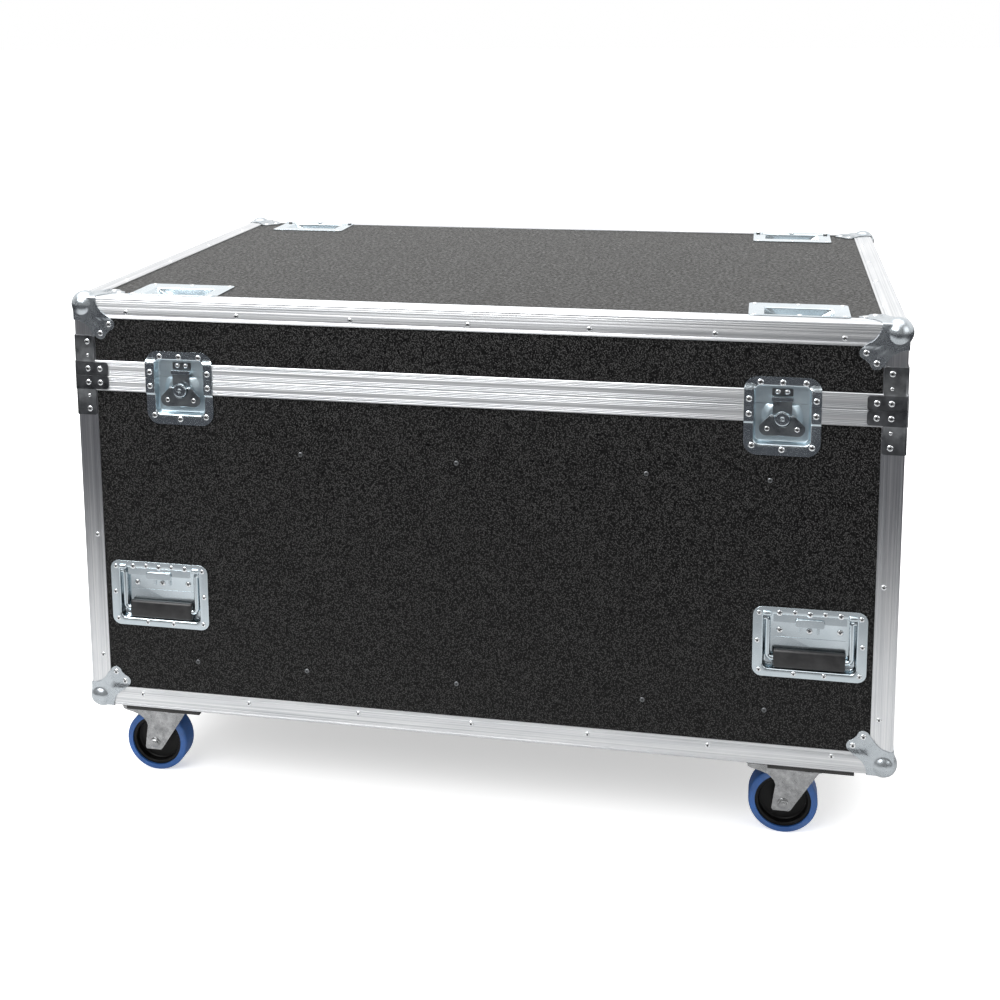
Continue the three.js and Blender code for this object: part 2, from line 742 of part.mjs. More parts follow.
// Lower dish with the raised boss that the spindle turns in
function lowerDish() {
  const boss = rod('y', bossTopRadius, bossFaceY, dishFloorY, 0, spindleZ, plainSteps, bossBaseRadius);
  const boreRadius = boreFor(spindleRadius, plainSteps);
  const bore = rod(
    'y', boreRadius, bossFaceY - overrun, dishBackY + overrun, 0, spindleZ, plainSteps,
  );
  const limit = block(
    -latchPocketWidth / 2, latchPocketWidth / 2, bossFaceY, dishBackY, bottomZ, baseSeamZ,
  );
  return cut(joined(latchDish(false), boss.intersect(limit)), bore);
}

// Upper dish with its keeper: a pad on the floor and a staple in front of the arm
function upperDish() {
  const bridgeBackY = armFrontY - fitGap;
  const bridgeFrontY = bridgeBackY - keeperThickness;
  const inner = armWidth / 2 + fitGap;
  const outer = inner + keeperThickness;
  const low = seamZ + keeperLow;
  const high = seamZ + keeperHigh;
  const staple = block(-outer, outer, bridgeFrontY, dishBackY - dishThickness / 2, low, high);
  const throat = block(-inner, inner, bridgeBackY, dishFloorY, low - overrun, high + overrun);
  const pad = block(
    -outer, outer, dishFloorY - keeperPadThickness, dishBackY - dishThickness / 2,
    seamZ + keeperPadLow, seamZ + keeperPadHigh,
  );
  return joined(latchDish(true), cut(staple, throat), pad);
}

// Arm: a strap with a slot for the spindle and a top edge curled back
function latchArm() {
  const half = armWidth / 2;
  const low = spindleZ - armBelowSpindle;
  const high = seamZ + armAboveSeam;
  const front = armFrontY - overrun;
  const back = armBackY + overrun;
  const strap = prism(
    roundedRectangle(-half, half, low, high, [armRound, armRound, 0, 0]), 'y', armFrontY, armBackY,
  );
  const slotHalf = spindleRadius + fitGap;
  const slot = joined(
    rod('y', slotHalf, front, back, 0, spindleZ, plainSteps),
    rod('y', slotHalf, front, back, 0, spindleZ - armTravel, plainSteps),
    block(-slotHalf, slotHalf, front, back, spindleZ - armTravel, spindleZ),
  );
  const curl = block(-half, half, armFrontY, armBackY + armCurl, high - armThickness, high);
  return cut(joined(strap, curl), slot);
}

// Spindle: neck, chamfered coin head and the two pins that carry the wing
const wingPinZ = spindleZ + wingPinRise;
const wingNotch = Math.hypot(spindleHeadRadius, headFrontY - wingAxisY) + fitGap * 2;

function latchSpindle() {
  const neck = rod('y', spindleRadius, headBackY, dishBackY, 0, spindleZ, plainSteps);
  const headRadius = spindleHeadRadius;
  const chamferY = headFrontY + spindleHeadChamfer;
  const rim = rod('y', headRadius, chamferY, headBackY, 0, spindleZ, plainSteps);
  const face = rod(
    'y', headRadius - spindleHeadChamfer, headFrontY, chamferY, 0, spindleZ, plainSteps, headRadius,
  );
  const pins = rod('x', wingPinRadius, -wingTopHalf, wingTopHalf, wingAxisY, wingPinZ, smallSteps);
  return joined(neck, rim, face, pins);
}

// Wing: a plate with two round ears, hung by knuckles either side of the spindle head
function latchWing() {
  const shape = new THREE.Shape();
  const earZ = spindleZ - wingEarDrop;
  const topZ0 = spindleZ + wingTopRise;
  shape.moveTo(-wingTopHalf, topZ0);
  arc(shape, -wingEarOut, earZ, wingEarRadius, Math.PI - wingSlope, Math.PI * 1.5, earFacets);
  arc(shape, wingEarOut, earZ, wingEarRadius, -Math.PI / 2, wingSlope, earFacets);
  shape.lineTo(wingTopHalf, topZ0);
  const plate = prism(withoutRepeats(shape), 'y', wingFrontY, wingBackY);
  const front = wingFrontY - overrun;
  const back = wingBackY + overrun;
  const clear = rod('y', wingNotch, front, back, 0, spindleZ, plainSteps);
  const above = block(-wingNotch, wingNotch, front, back, spindleZ, spindleZ + overrun);
  const knuckles = [-1, 1].map((side) => {
    const ends = [side * wingNotch, side * wingTopHalf].sort((p, q) => p - q);
    return rod('x', wingKnuckleRadius, ends[0], ends[1], wingAxisY, wingPinZ, smallSteps);
  });
  const pinReach = wingTopHalf + fitGap;
  const boreRadius = boreFor(wingPinRadius, smallSteps);
  const bore = rod('x', boreRadius, -pinReach, pinReach, wingAxisY, wingPinZ, smallSteps);
  return cut(joined(cut(plate, clear, above), knuckles), bore);
}

const darkZinc = finish(0x5d6165, 0.45, 0.8);
const latchPieces = [
  ['lower_dish', lowerDish(), zinc],
  ['upper_dish', upperDish(), zinc],
  ['arm', latchArm(), darkZinc],
  ['spindle', latchSpindle(), zinc],
  ['wing', latchWing(), darkZinc],
];
for (const [side, x] of latchSides) {
  for (const [piece, solid, material] of latchPieces) {
    addMesh(`latch_${side}_${piece}`, solid, material.clone(), {
      position: new THREE.Vector3(x, 0, 0),
    });
  }
}

// Handle dish: a flange on the panel round a deep pocket, with a hood over its top
const pivotZ = handleZ + handlePocketHeight / 2 - bailPivotDrop;
const gripBottomZ = handleZ - handlePocketHeight / 2 + gripBottomGap;
const gripTopZ = gripBottomZ + gripHeight;
const gripY = dishFloorY - gripFloorGap - gripDepth / 2;

function handleDish() {
  const plate = prism(roundedRectangle(
    -handleWidth / 2, handleWidth / 2, handleZ - handleHeight / 2, handleZ + handleHeight / 2, handleRound,
  ), 'y', flangeY, flangeY + dishThickness);
  const outer = prism(handlePocket(0, dishThickness), 'y', flangeY, dishBackY);
  const hole = prism(handlePocket(0, 0), 'y', flangeY - overrun, dishFloorY);
  const hoodTop = handleZ + handlePocketHeight / 2;
  const hood = block(
    -hoodLength / 2, hoodLength / 2, flangeY, flangeY + dishThickness,
    hoodTop - hoodDrop, hoodTop + dishThickness,
  );
  return joined(cut(joined(plate, outer), hole), hood);
}

// Bail: round legs with outturned pivots and a moulded grip along the bottom
function handleBail() {
  const end = handlePocketWidth / 2 - fitGap;
  const x = bailHalfSpan;
  const middleZ = (gripBottomZ + gripTopZ) / 2;
  const legs = [-1, 1].map((side) => (
    rod('z', bailRadius, middleZ - bailRadius, pivotZ + bailRadius, side * x, gripY, smallSteps)
  ));
  const stubs = [-1, 1].flatMap((side) => {
    const inner = [side * x, side * (gripLength / 2 - gripRound)].sort((p, q) => p - q);
    const outer = [side * x, side * end].sort((p, q) => p - q);
    return [
      rod('x', bailRadius, inner[0], inner[1], gripY, middleZ, smallSteps),
      rod('x', bailRadius, outer[0], outer[1], gripY, pivotZ, smallSteps),
    ];
  });
  const grip = prism(roundedRectangle(
    gripY - gripDepth / 2, gripY + gripDepth / 2, gripBottomZ, gripTopZ, gripRound, gripFacets,
  ), 'x', -gripLength / 2, gripLength / 2);
  return joined(legs, stubs, grip);
}

const handleDishSolid = handleDish();
const handleBailSolid = handleBail();
const rubber = finish(0x17181a, 0.8, 0);
for (const [name, sx, sy] of cupPlaces) {
  const place = {
    position: new THREE.Vector3(sx * handleX, 0, 0),
    rotation: new THREE.Euler(0, 0, sy > 0 ? Math.PI : 0),
  };
  addMesh(`handle_${name}_dish`, handleDishSolid, zinc.clone(), place);
  addMesh(`handle_${name}_bail`, handleBailSolid, rubber.clone(), place);
}

// Continuous hinge: knuckles alternate between the two leaves on one pin
const leafY = halfDepth + closureProud + fitGap;
const hingeY = leafY + hingeRadius;
const knuckleLength = hingeLength / hingeKnuckles;

function hingeLeaf(upper) {
  const direction = upper ? 1 : -1;
  const clear = seamZ + direction * (hingeRadius + fitGap);
  const tip = seamZ + direction * hingeLeafHeight;
  const half = hingeLength / 2;
  const plate = block(
    -half, half, leafY, leafY + hingeLeafThickness, Math.min(clear, tip), Math.max(clear, tip),
  );
  const pieces = [plate];
  for (let i = upper ? 1 : 0; i < hingeKnuckles; i += 2) {
    const from = -half + i * knuckleLength + hingeEndPlay / 2;
    const to = from + knuckleLength - hingeEndPlay;
    const root0 = clear + direction * hingeLeafThickness;
    pieces.push(block(
      from, to, leafY, leafY + hingeLeafThickness, Math.min(seamZ, root0), Math.max(seamZ, root0),
    ));
    pieces.push(rod('x', hingeRadius, from, to, hingeY, seamZ, smallSteps));
  }
  const bore = rod('x', hingePinRadius + fitGap, -half - overrun, half + overrun, hingeY, seamZ, hexSteps);
  return cut(joined(pieces), bore);
}

addMesh('hinge_base_leaf', hingeLeaf(false), zinc.clone());
addMesh('hinge_lid_leaf', hingeLeaf(true), zinc.clone());
const pinSolid = rod('x', hingePinRadius, -hingeLength / 2, hingeLength / 2, hingeY, seamZ, hexSteps);
addMesh('hinge_pin', pinSolid, darkZinc.clone());

// Castors, drawn with the swivel axis on x = 0, y = 0 and the wheel trailing to -X
const plateLow = castorHeight - castorPlateThickness;
const webLow = wheelRadius * 2 + wheelTopGap;
const webTop = webLow + forkWeb;
const crownTop = webTop + crownHeight;
const axleZ = wheelRadius;

// Mounting board rebated over the ball corner, top plate, swivel race and king pin
function castorPlate(sx, sy) {
  const boardX = castorBoardLength / 2;
  const boardY = castorBoardWidth / 2;
  const board = cut(
    block(-boardX, boardX, -boardY, boardY, castorHeight, bottomZ - fitGap), lobeRebate(sx, sy),
  );
  const x = castorPlateLength / 2;
  const y = castorPlateWidth / 2;
  const middle = plateLow + castorPlateThickness / 2;
  const plate = prism(roundedRectangle(-x, x, -y, y, castorPlateRound), 'z', plateLow, castorHeight);
  const race = rod('z', swivelRadius, crownTop + fitGap, middle, 0, 0, plainSteps);
  const pinLow = webLow - fitGap - kingPinHeadThickness;
  const pin = rod('z', kingPinRadius, pinLow, middle, 0, 0, smallSteps);
  const head = rod('z', kingPinHead, pinLow, webLow - fitGap, 0, 0, smallSteps);
  return joined(board, plate, race, pin, head);
}

// The space that a ball corner's plate takes over a castor board
function lobeRebate(sx, sy) {
  const reach = lobeFar + lobeRadius + fitGap;
  const inner = edgeWidth + fitGap * 2 + cornerThickness;
  const x = [sx * (castorInsetX - reach), sx * (castorInsetX + overrun)].sort((p, q) => p - q);
  const y = [sy * (castorInsetY - inner), sy * (castorInsetY - inner + lobeRadius)].sort((p, q) => p - q);
  return block(x[0], x[1], y[0], y[1], bottomZ - cornerThickness - fitGap * 2, bottomZ);
}

// Fork: two pressed cheeks under a visor, a swivel crown and the axle bolt
function castorFork() {
  const innerHalf = tyreWidth / 2 + forkSideGap;
  const outerHalf = innerHalf + forkThickness;
  const axleX = -wheelOffset;
  const legLow = axleZ - forkLegDrop;
  const side = outline([
    [-forkReach, webTop],
    [-forkReach, webTop - forkTipDrop],
    [axleX - forkSkirtOut, webTop - forkSkirtDrop],
    [axleX - forkFilletOut, webTop - forkFilletDrop],
    [axleX - forkNeckOut, webTop - forkNeckDrop],
    [axleX - forkLegOut, legLow + forkThickness],
    [axleX - forkLegOut + forkThickness, legLow],
    [axleX + forkLegLead - forkThickness, legLow],
    [axleX + forkLegLead, legLow + forkThickness],
    [forkHeelReach, webLow],
    [forkHeelReach, webTop],
  ]);
  const cheeks = [
    prism(side, 'y', -outerHalf, -innerHalf),
    prism(side, 'y', innerHalf, outerHalf),
  ];
  const web = block(-forkReach, forkHeelReach, -outerHalf, outerHalf, webLow, webTop);
  const plan = roundedRectangle(
    -forkReach, forkHeelReach, -outerHalf, outerHalf, [forkTipRound, 0, 0, forkTipRound],
  );
  const body = joined(cheeks, web).intersect(prism(plan, 'z', 0, crownTop));
  const crown = rod('z', crownRadius, webLow, webTop, 0, 0, plainSteps);
  const dome = rod('z', crownRadius, webTop, crownTop, 0, 0, plainSteps, swivelRadius);
  const pinBore = boreFor(kingPinRadius, smallSteps);
  const bore = rod('z', pinBore, webLow - overrun, crownTop + overrun, 0, 0, smallSteps);
  const axle = rod('y', axleRadius, -outerHalf, outerHalf, axleX, axleZ, smallSteps);
  const headFar = outerHalf + axleHeadThickness;
  const headNear = outerHalf - forkThickness / 2;
  const heads = [
    rod('y', axleHeadRadius, -headFar, -headNear, axleX, axleZ, hexSteps),
    rod('y', axleHeadRadius, headNear, headFar, axleX, axleZ, hexSteps),
  ];
  return joined(cut(joined(body, crown, dome), bore), axle, heads);
}

// Tyre and hub, turned about the axle
function castorTyre() {
  const flat = 1 / Math.cos(Math.PI / roundSteps);
  const outer = wheelRadius * flat;
  const inner = (wheelRadius - tyreThickness) * flat;
  const half = tyreWidth / 2;
  return turned([
    [inner, -half], [outer - tyreShoulder, -half], [outer, -half + tyreShoulder * 2],
    [outer, half - tyreShoulder * 2], [outer - tyreShoulder, half], [inner, half], [inner, -half],
  ], roundSteps);
}

function castorHub() {
  const bore = boreFor(axleRadius, hubSteps);
  const rim = wheelRadius - tyreThickness - fitGap;
  const rimIn = rim - hubRimInset;
  const bossHalf = hubBossWidth / 2;
  const rimHalf = hubWidth / 2;
  const webHalf = hubWeb / 2;
  return turned([
    [bore, -bossHalf], [hubBossRadius, -bossHalf], [hubBossRadius, -webHalf], [rimIn, -webHalf],
    [rimIn, -rimHalf], [rim, -rimHalf], [rim, rimHalf], [rimIn, rimHalf], [rimIn, webHalf],
    [hubBossRadius, webHalf], [hubBossRadius, bossHalf], [bore, bossHalf], [bore, -bossHalf],
  ], hubSteps);
}

const forkSolid = castorFork();
const hubSolid = castorHub();
const tyreSolid = castorTyre();
const galvanised = finish(0x9aa0a3, 0.42, 0.85);
const hubPlastic = finish(0x101113, 0.5, 0);
const blueRubber = finish(0x1f4a86, 0.6, 0);
for (const [name, sx, sy] of cupPlaces) {
  const swivel = new THREE.Vector3(sx * castorX, sy * castorY, 0);
  const axle = new THREE.Vector3(sx * castorX - wheelOffset, sy * castorY, axleZ);
  addMesh(`castor_${name}_plate`, castorPlate(sx, sy), galvanised.clone(), { position: swivel });
  addMesh(`castor_${name}_fork`, forkSolid, galvanised.clone(), { position: swivel });
  addMesh(`castor_${name}_hub`, hubSolid, hubPlastic.clone(), { position: axle });
  addMesh(`castor_${name}_tyre`, tyreSolid, blueRubber.clone(), { position: axle });
}

export default root;
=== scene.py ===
"""Looks of the wheeled equipment case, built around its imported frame.

Measures are in millimetres until a mesh is made, and the frame's own axes are kept.
A form is drawn as its viewer sees it: u to the right, v up and w into the case.
"""
import math

import bmesh
import bpy
from mathutils import Matrix, Vector


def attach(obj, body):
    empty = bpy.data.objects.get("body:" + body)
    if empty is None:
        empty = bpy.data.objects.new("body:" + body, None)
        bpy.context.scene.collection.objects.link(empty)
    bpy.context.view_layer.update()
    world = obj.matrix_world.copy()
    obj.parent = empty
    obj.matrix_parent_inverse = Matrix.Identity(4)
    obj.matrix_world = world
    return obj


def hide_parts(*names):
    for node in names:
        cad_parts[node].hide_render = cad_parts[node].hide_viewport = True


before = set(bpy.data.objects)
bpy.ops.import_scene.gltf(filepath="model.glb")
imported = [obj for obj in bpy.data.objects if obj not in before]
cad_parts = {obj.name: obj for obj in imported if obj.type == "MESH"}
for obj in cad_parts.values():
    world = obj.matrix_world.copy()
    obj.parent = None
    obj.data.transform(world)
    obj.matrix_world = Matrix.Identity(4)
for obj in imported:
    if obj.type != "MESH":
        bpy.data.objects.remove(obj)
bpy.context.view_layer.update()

MM = 0.001
QUARTER = math.pi / 2

# Case body, as packed
HALF_LENGTH = 600
HALF_DEPTH = 400
BOTTOM = 137
TOP = 782
SEAM = 662.6
SEAM_GAP = 0.5
FIT_GAP = 0.3
PANEL_INSET = 1.8
PANEL_INNER = 13.8
SKIN_MARGIN = 0.2

# Angle extrusions, with each groove's place and depth
EDGE_WIDTH = 31.8
EDGE_WALL = 1.5
EDGE_ROUND = 3
EDGE_GROOVES = ((4.6, 0.3), (7.4, 0.16), (10.2, 0.12), (14.6, 0.1), (26.8, 0.3))
GROOVE_WIDTH = 0.8
CORNER_RELIEF = 9.5

# Closure extrusions at the seam
CLOSURE_HEIGHT = 22.8
CLOSURE_PROUD = 1.2
CLOSURE_WEB = 1.5
CLOSURE_INNER = 14.1
CLOSURE_INNER_LEG = 12
CLOSURE_GROOVES = tuple((height, 0.45) for height in (3.1, 5.4, 7.6, 15.6, 17.8, 20))
CLOSURE_LIP = 0.8
TONGUE_MIDDLE = 7.8
TONGUE_HALF = 1.2
TONGUE_HEIGHT = 4.5
TONGUE_CLEARANCE = 0.8
TONGUE_CHAMFER = 0.5
GROOVE_ROOF = 1.5

# Corner braces
BRACE_THICKNESS = 1.4
BRACE_FOOT = 53
BRACE_FOOT_MARGIN = 2.6
BRACE_FOOT_ROUND = 4
BRACE_FOOT_OUT = CLOSURE_PROUD + CLOSURE_WEB
BRACE_NECK = 0.05
BRACE_STEP = (1.2, 2.6)
BRACE_LEG = 31.5
BRACE_LEG_LENGTH = 37.5
BRACE_LEG_OUT = FIT_GAP + BRACE_THICKNESS + 0.1
BRACE_LEG_CHAMFER = 2
BRACE_BEND = 3.4
BRACE_BEND_WAYS = (1.5, 3.0, 4.6, 6.5)

# Ball corners
BALL_RADIUS = 20
BALL_CENTRE = 13
BALL_FILLET = 1.9
BALL_RINGS = (2.5, 5, 7.5, 9.5, 11.2, 12.3, 13, 13.5, 13.9, 14.3)
PLATE_SHARES = (0.1, 0.2, 0.32, 0.45, 0.6, 0.75, 0.9, 1)
BALL_FOLD = 19.06
CORNER_SKIN = 1.5
CORNER_SHEET = 1.1
CORNER_BEND = 3.5
CORNER_REACH = 35.5
FOLD_STEPS = 14
PLATE_STEP = 3
SCALLOP_CENTRE = 66
SCALLOP_TURN = 0.36 * math.pi
SCALLOP_STEPS = 10
LOBE_NEAR = 41
LOBE_FAR = 55
LOBE_RADIUS = 9
LOBE_START = -0.35
LOBE_SWEEP = 0.8
LOBE_STEPS = 9

# Pressed dishes of the latches and handles
SHEET = 1.2
DISH_ROLL = 2.2
DISH_FILLET = 2.6
DISH_DRAFT = 0.6
DISH_EDGE = 0.35
DISH_ROLL_END = 7
FLANGE_FACE = -399.7
FLANGE_PROUD_FACE = -402.7
DISH_FLOOR = -387.4

# Latches
LATCH_X = 437
LATCH_HALF = 52
LATCH_ROUND = 19
LATCH_POCKET_HALF = 38
POCKET_ROUND = 8
# Reach of the dish and of its pocket from the seam, and the places of the rings' points down the sides
LATCH_UPPER = (40.6, 27.4, (0, 6, 12, 17))
LATCH_LOWER = (70.4, 54.6, (0, 10, 20, 22.4, 23.2, 24, 24.8, 26, 34, 42))
# Where a flange steps down from the closure's face, beyond the closure's height
LATCH_STEP_UPPER = (1, 4.6)
LATCH_STEP_LOWER = (0.3, 2.6)
LATCH_RIVETS_UPPER = ((-30, 32.6), (0, 32.6), (31, 32.6), (-45, 9.1), (45, 9.1))
LATCH_RIVETS_LOWER = ((-45, -12.1), (45, -12.1), (-40.6, -57.1), (0, -61.6), (40.6, -57.1))
KEEPER_HALF = 14.6
KEEPER_LOW = SEAM + 4.8
KEEPER_HIGH = SEAM + 10.8
KEEPER_SHEET = 1.3
KEEPER_CHEEK_INSET = 0.4
PAD_HALF = 14.2
PAD_LOW = SEAM + 11.2
PAD_HIGH = SEAM + 21.6
PAD_RISE = 1.2
PAD_THICKNESS = 1.4
PAD_RIVETS = (6.4, SEAM + 17.2)
SPINDLE = SEAM - 18.2
BOSS_PROFILE = ((30, -0.4), (27, 0.3), (25, 1.1), (22, 2.6), (20.4, 3.5), (19, 3.95), (17, 4.0), (8, 4.0))
BOSS_HALF = 36
BOSS_MARGIN = 0.1
ARM_FACE = -393.2
ARM_THICKNESS = 1.5
ARM_HALF = 13
ARM_LOW = SPINDLE - 24
ARM_HIGH = SEAM + 9.6
ARM_SLOT_RADIUS = 6.3
ARM_SLOT_STRETCH = 8
WING_FACE = -397
WING_THICKNESS = 1.6
WING_EAR = (20.1, -14.6, 11)
WING_EAR_STEPS = 12
WING_EAR_TURN = 0.63
WING_FOOT = (8, -24.9)
WING_NOTCH = 12.6
WING_NOTCH_STEPS = 16
WING_TOP = 4.2
WING_TOP_HALF = 16.5
WING_CHAMFER = (0.8, 1.0)
WING_SCREWS = (20.3, -15.3)
KNUCKLE_ENDS = (12.8, 14.6, 16.4)
KNUCKLE_RADIUS = 1.9
PIN_V = 3.2
PIN_W = -396.2
PIN_HALF = 16.2
PIN_RADIUS = 0.8
HEAD_FACE = -400.7
HEAD_RADIUS = 10.5
SHANK_RADIUS = 6

# Handles
HANDLE_X = 482
HANDLE_Z = 322.4
HANDLE_HALF_WIDTH = 78
HANDLE_HALF_HEIGHT = 51.5
HANDLE_ROUND = 13
HANDLE_POCKET_HALF_WIDTH = 63.7
HANDLE_POCKET_HALF_HEIGHT = 40
HANDLE_POCKET_ROUNDS = (8, 8, 4, 4)
HANDLE_RIVETS = (
    (-69.5, 41.8), (-20.5, 44.6), (20.5, 44.6), (69.5, 41.8), (-71.5, 0.8), (71.5, 0.8),
    (-68.7, -42.3), (-20.8, -45.5), (20.8, -45.5), (68.7, -42.3),
)
HANDLE_SCREWS = ((-41.6, 43.2), (0, 43.4), (41.6, 43.7))
HANDLE_DOMES = ((-41, 13), (0, 14), (41.7, 15))
HOOD = (-50, 50, 30, 41.2)
HOOD_ROUNDS = (1.5, 1.5, 0.4, 0.4)
TAB = (-20, 20, 24.6, 36.4)
TAB_ROUNDS = (2.4, 2.4, 3.8, 3.8)
TAB_RISE = 2.9
TAB_THICKNESS = 3.4
DISH_BARS = (-12, 12)
DISH_BAR_HALF = 1.8
DISH_BAR_ENDS = (10.4, 21.8)
DISH_BAR_RISE = 2.2
DISH_BAR_THICKNESS = 2.6
CREASE = (-49, 49, 2.6, 3.4)
CREASE_RISE = 0.25
HUMP_V = 42
HUMP_RINGS = ((6.6, 3.8, 0), (6.4, 3.6, 1.0), (5.4, 2.9, 2.2), (3.6, 1.9, 2.9), (1.6, 0.8, 3.1))
BAIL_RADIUS = 4
BAIL_HALF_SPAN = 57.4
BAIL_PIVOT = 356 - HANDLE_Z
BAIL_ENDS = (63.2, 60.8)
BAIL_TURN = 60.4
BAIL_TURN_RADIUS = 3
BAIL_BEND = 7
GRIP_HALF = 49.5
GRIP_LOW = 283.2 - HANDLE_Z
GRIP_HIGH = 310.2 - HANDLE_Z
GRIP_MIDDLE = -393.7
GRIP_DEPTH = 11
GRIP_ROUND = 4.6
GRIP_ENDS = ((0.0, 2.4), (0.5, 1.2), (1.6, 0.35), (3.2, 0.0))
RIDGE_DROP = 5.6
RIDGE_SPREAD = 0.8
RIDGE_HEIGHT = 0.3
NECK_DROP = 4.6
NECK_DEPTH = 0.7

# Castor cups
CUP_X = 457
CUP_Y = 328.8
CUP_HALF_LENGTH = 69
CUP_HALF_WIDTH = 46.25
CUP_ROUND = 7
CUP_POCKET_Y = 338.6
CUP_POCKET_HALF = 47
CUP_POCKET_ROUND = 1.4
CUP_FLOOR_HALF = 30
CUP_POCKET_HALF_WIDTH = 26
CUP_FACE = 781.7
CUP_FLOOR = 768.7
CUP_SHEET = 1.0
CUP_ROLL = 1.8
CUP_FILLET = 1.6
CUP_DRAFT = 0.4
CUP_FLOOR_RISE = 1.4
CUP_SLOPE = 0.08
CUP_STEP_HALF = 1.5
CUP_RIVETS_X = (-61, 0, 61)
CUP_RIVETS_Y = (-41, 41)

# Castors
CASTOR_X = 489
CASTOR_Y = 322
WHEEL_OFFSET = 36
WHEEL_RADIUS = 50
TYRE_HALF = 18
TYRE_THICKNESS = 9.4
TREAD_ROUND = 4
HUB_RIM = WHEEL_RADIUS - TYRE_THICKNESS - FIT_GAP
HUB_RIM_HALF = 15
HUB_RIM_WALL = 5
HUB_BORE = 5.2
HUB_BOSS_HALF = 20
HUB_BOSS_RADIUS = 13
HUB_WEB_HALF = 4.5
BOARD_LOW = 128
BOARD_HALF_X = 60
BOARD_HALF_Y = 70
BOARD_ROUND = 1.5
BOARD_REBATE = 1.8
BOARD_NOTCH = (46.7, 44.4, 53.4)
PLATE_HALF_X = 52.5
PLATE_HALF_Y = 42.5
PLATE_ROUND = 8
PLATE_THICKNESS = 3
PLATE_BOLTS = (39, 30)
RACE_RADIUS = 29
RACE_BORE = 8
CROWN_RADIUS = 38
CROWN_TOP = 115
CROWN_SHEET = 3
KING_PIN = ((10, 0), (10, 1.6), (9, 2.3), (3, 2.4))
FORK_TOP = 111
FORK_HALF = 23.2
FORK_SHEET = 2.6
FORK_BEND = 4
FORK_TIP = -97
FORK_TIP_ROUND = 9
FORK_CREASE = -25
FORK_TAPER = 0.05
FORK_STEP = 5
FORK_STEP_DEPTH = 1.0
FORK_FADE = 20
FORK_HEIGHTS = (
    38.2, 38.8, 39.6, 42, 48, 56, 64, 72, 78, 81, 84, 87, 90, 92, 94, 96, 98, 101, 103.6, 104.6, 106,
)
FORK_BRIDGE = (4, 8, 12)
FORK_LEFT = (
    (38.2, -49.6), (39.2, -51.4), (42, -52.3), (60, -50), (78, -47.4), (84, -49.4), (90, -54.4),
    (94, -59.4), (98, -70), (101, -83), (103.6, -94), (104.6, -97),
)
FORK_RIGHT = ((38.2, -27.6), (39.2, -25.6), (42, -23.4), (107, 18.6), (108.4, 20))
AXLE_CUP = ((8.2, 0), (8.0, 1.0), (7.0, 1.7), (5.9, 1.9))
AXLE_NUT = ((6.4, 1.8), (6.4, 3.2), (5.6, 3.7), (3.4, 3.7))
AXLE_TIP = ((3.6, 3.6), (3.6, 4.1), (3.1, 4.4), (1.0, 4.45))

# Fasteners: radius and height of each head, and profiles as shares of them
RIVET_SIDES = 16
RIVET = (4.4, 1.5)
FRAME_RIVET = (3.8, 1.2)
HANDLE_RIVET = (3.6, 1.1)
CUP_RIVET = (3.8, 1.0)
PANEL_RIVET = (3.6, 1.4)
PAD_RIVET = (4, 2.4)
BRACE_DOME = (2.6, 1.2)
WING_SCREW = (3.5, 1.0)
FLANGE_SCREW = (4.2, 1.4)
FLOOR_SCREW = (4.4, 1.6)
PLATE_BOLT = (6.4, 4.2)
RIVET_RING = ((1, 0), (1, 0.25), (0.94, 0.5), (0.8, 0.78), (0.62, 0.96), (0.48, 1), (0.4, 0.9), (0.36, 0.45))
RIVET_CORE = ((0.37, 0.5), (0.2, 0.62), (0.08, 0.66))
BOLT_WASHER = ((1.25, 0), (1.25, 0.25), (0.9, 0.25))
BOLT_HEAD = ((1, 0.25), (1, 0.9), (0.86, 1), (0.3, 1))
EDGE_RIVETS_X = (-516.5, -344.5, -172.3, 0, 172.3, 344.5, 516.5)
EDGE_RIVETS_Y = (-258, -86, 86, 258)
EDGE_RIVET_INSET = 22
POST_RIVETS = (219, 413)
POST_RIVET_INSET = 21
PANEL_RIVETS = (
    (-252.8, 556), (-19, 556), (252.9, 556), (422.8, 556), (-424.7, 219), (-251.4, 219),
    (-21.8, 219), (250.7, 219), (422.3, 219),
)
BRACE_INSETS = (20, 39)
BRACE_FOOT_RIVET = 10.4
BRACE_LEG_DOME = 30.8
BRACE_LEG_RIVET = 51.4

# Camera, in metres and radians
CAMERA_PLACE = (0.40661, -2.36001, 1.20011)
CAMERA_YAW = -0.19828
CAMERA_PITCH = 0.1546
CAMERA_ROLL = 0.00721
CAMERA_LENS = 52.222
CAMERA_SHIFT = (0.024, -0.265)

# Studio, in metres and watts: each light's place, target, size and power
KEY = ((-1.5, -3.0, 2.9), (0, 0, 0.4), (3.2, 1.6), 86)
FILL = ((2.6, -1.8, 1.8), (0, 0, 0.4), (1.6, 1.6), 14)
STRIP = ((-0.5, -0.85, 1.75), (-0.5, -0.4, 0.66), (1.5, 0.25), 15)
SKY_TARGET = (0.2, 0.05, -1)
SKY_LIGHT = 2.2
SKY_SPREAD = 80
ROOM_FRONT = 0.3
ROOM_BACK = 1.2
ROOM_HORIZON = 0.35
ROOM_TOP = 0.62
FLOOR_REACH = 40.0
FLOOR_GLOW = 0.5
FLAG_REACH = 12.0
FLAG_HEIGHT = 0.0005
FLAG_NEAR = 0.5
FLAG_FAR = 1.15
FLAG_PALE = (0.52, 0.52, 0.52, 1)
FLAG_TONE = (0.045, 0.045, 0.05, 1)

CORNERS = (("front_left", -1, -1), ("front_right", 1, -1), ("back_left", -1, 1), ("back_right", 1, 1))
# Each half of the case: its body, its edge at the seam and the way from there
HALVES = (("base", SEAM - SEAM_GAP / 2, -1), ("lid", SEAM + SEAM_GAP / 2, 1))


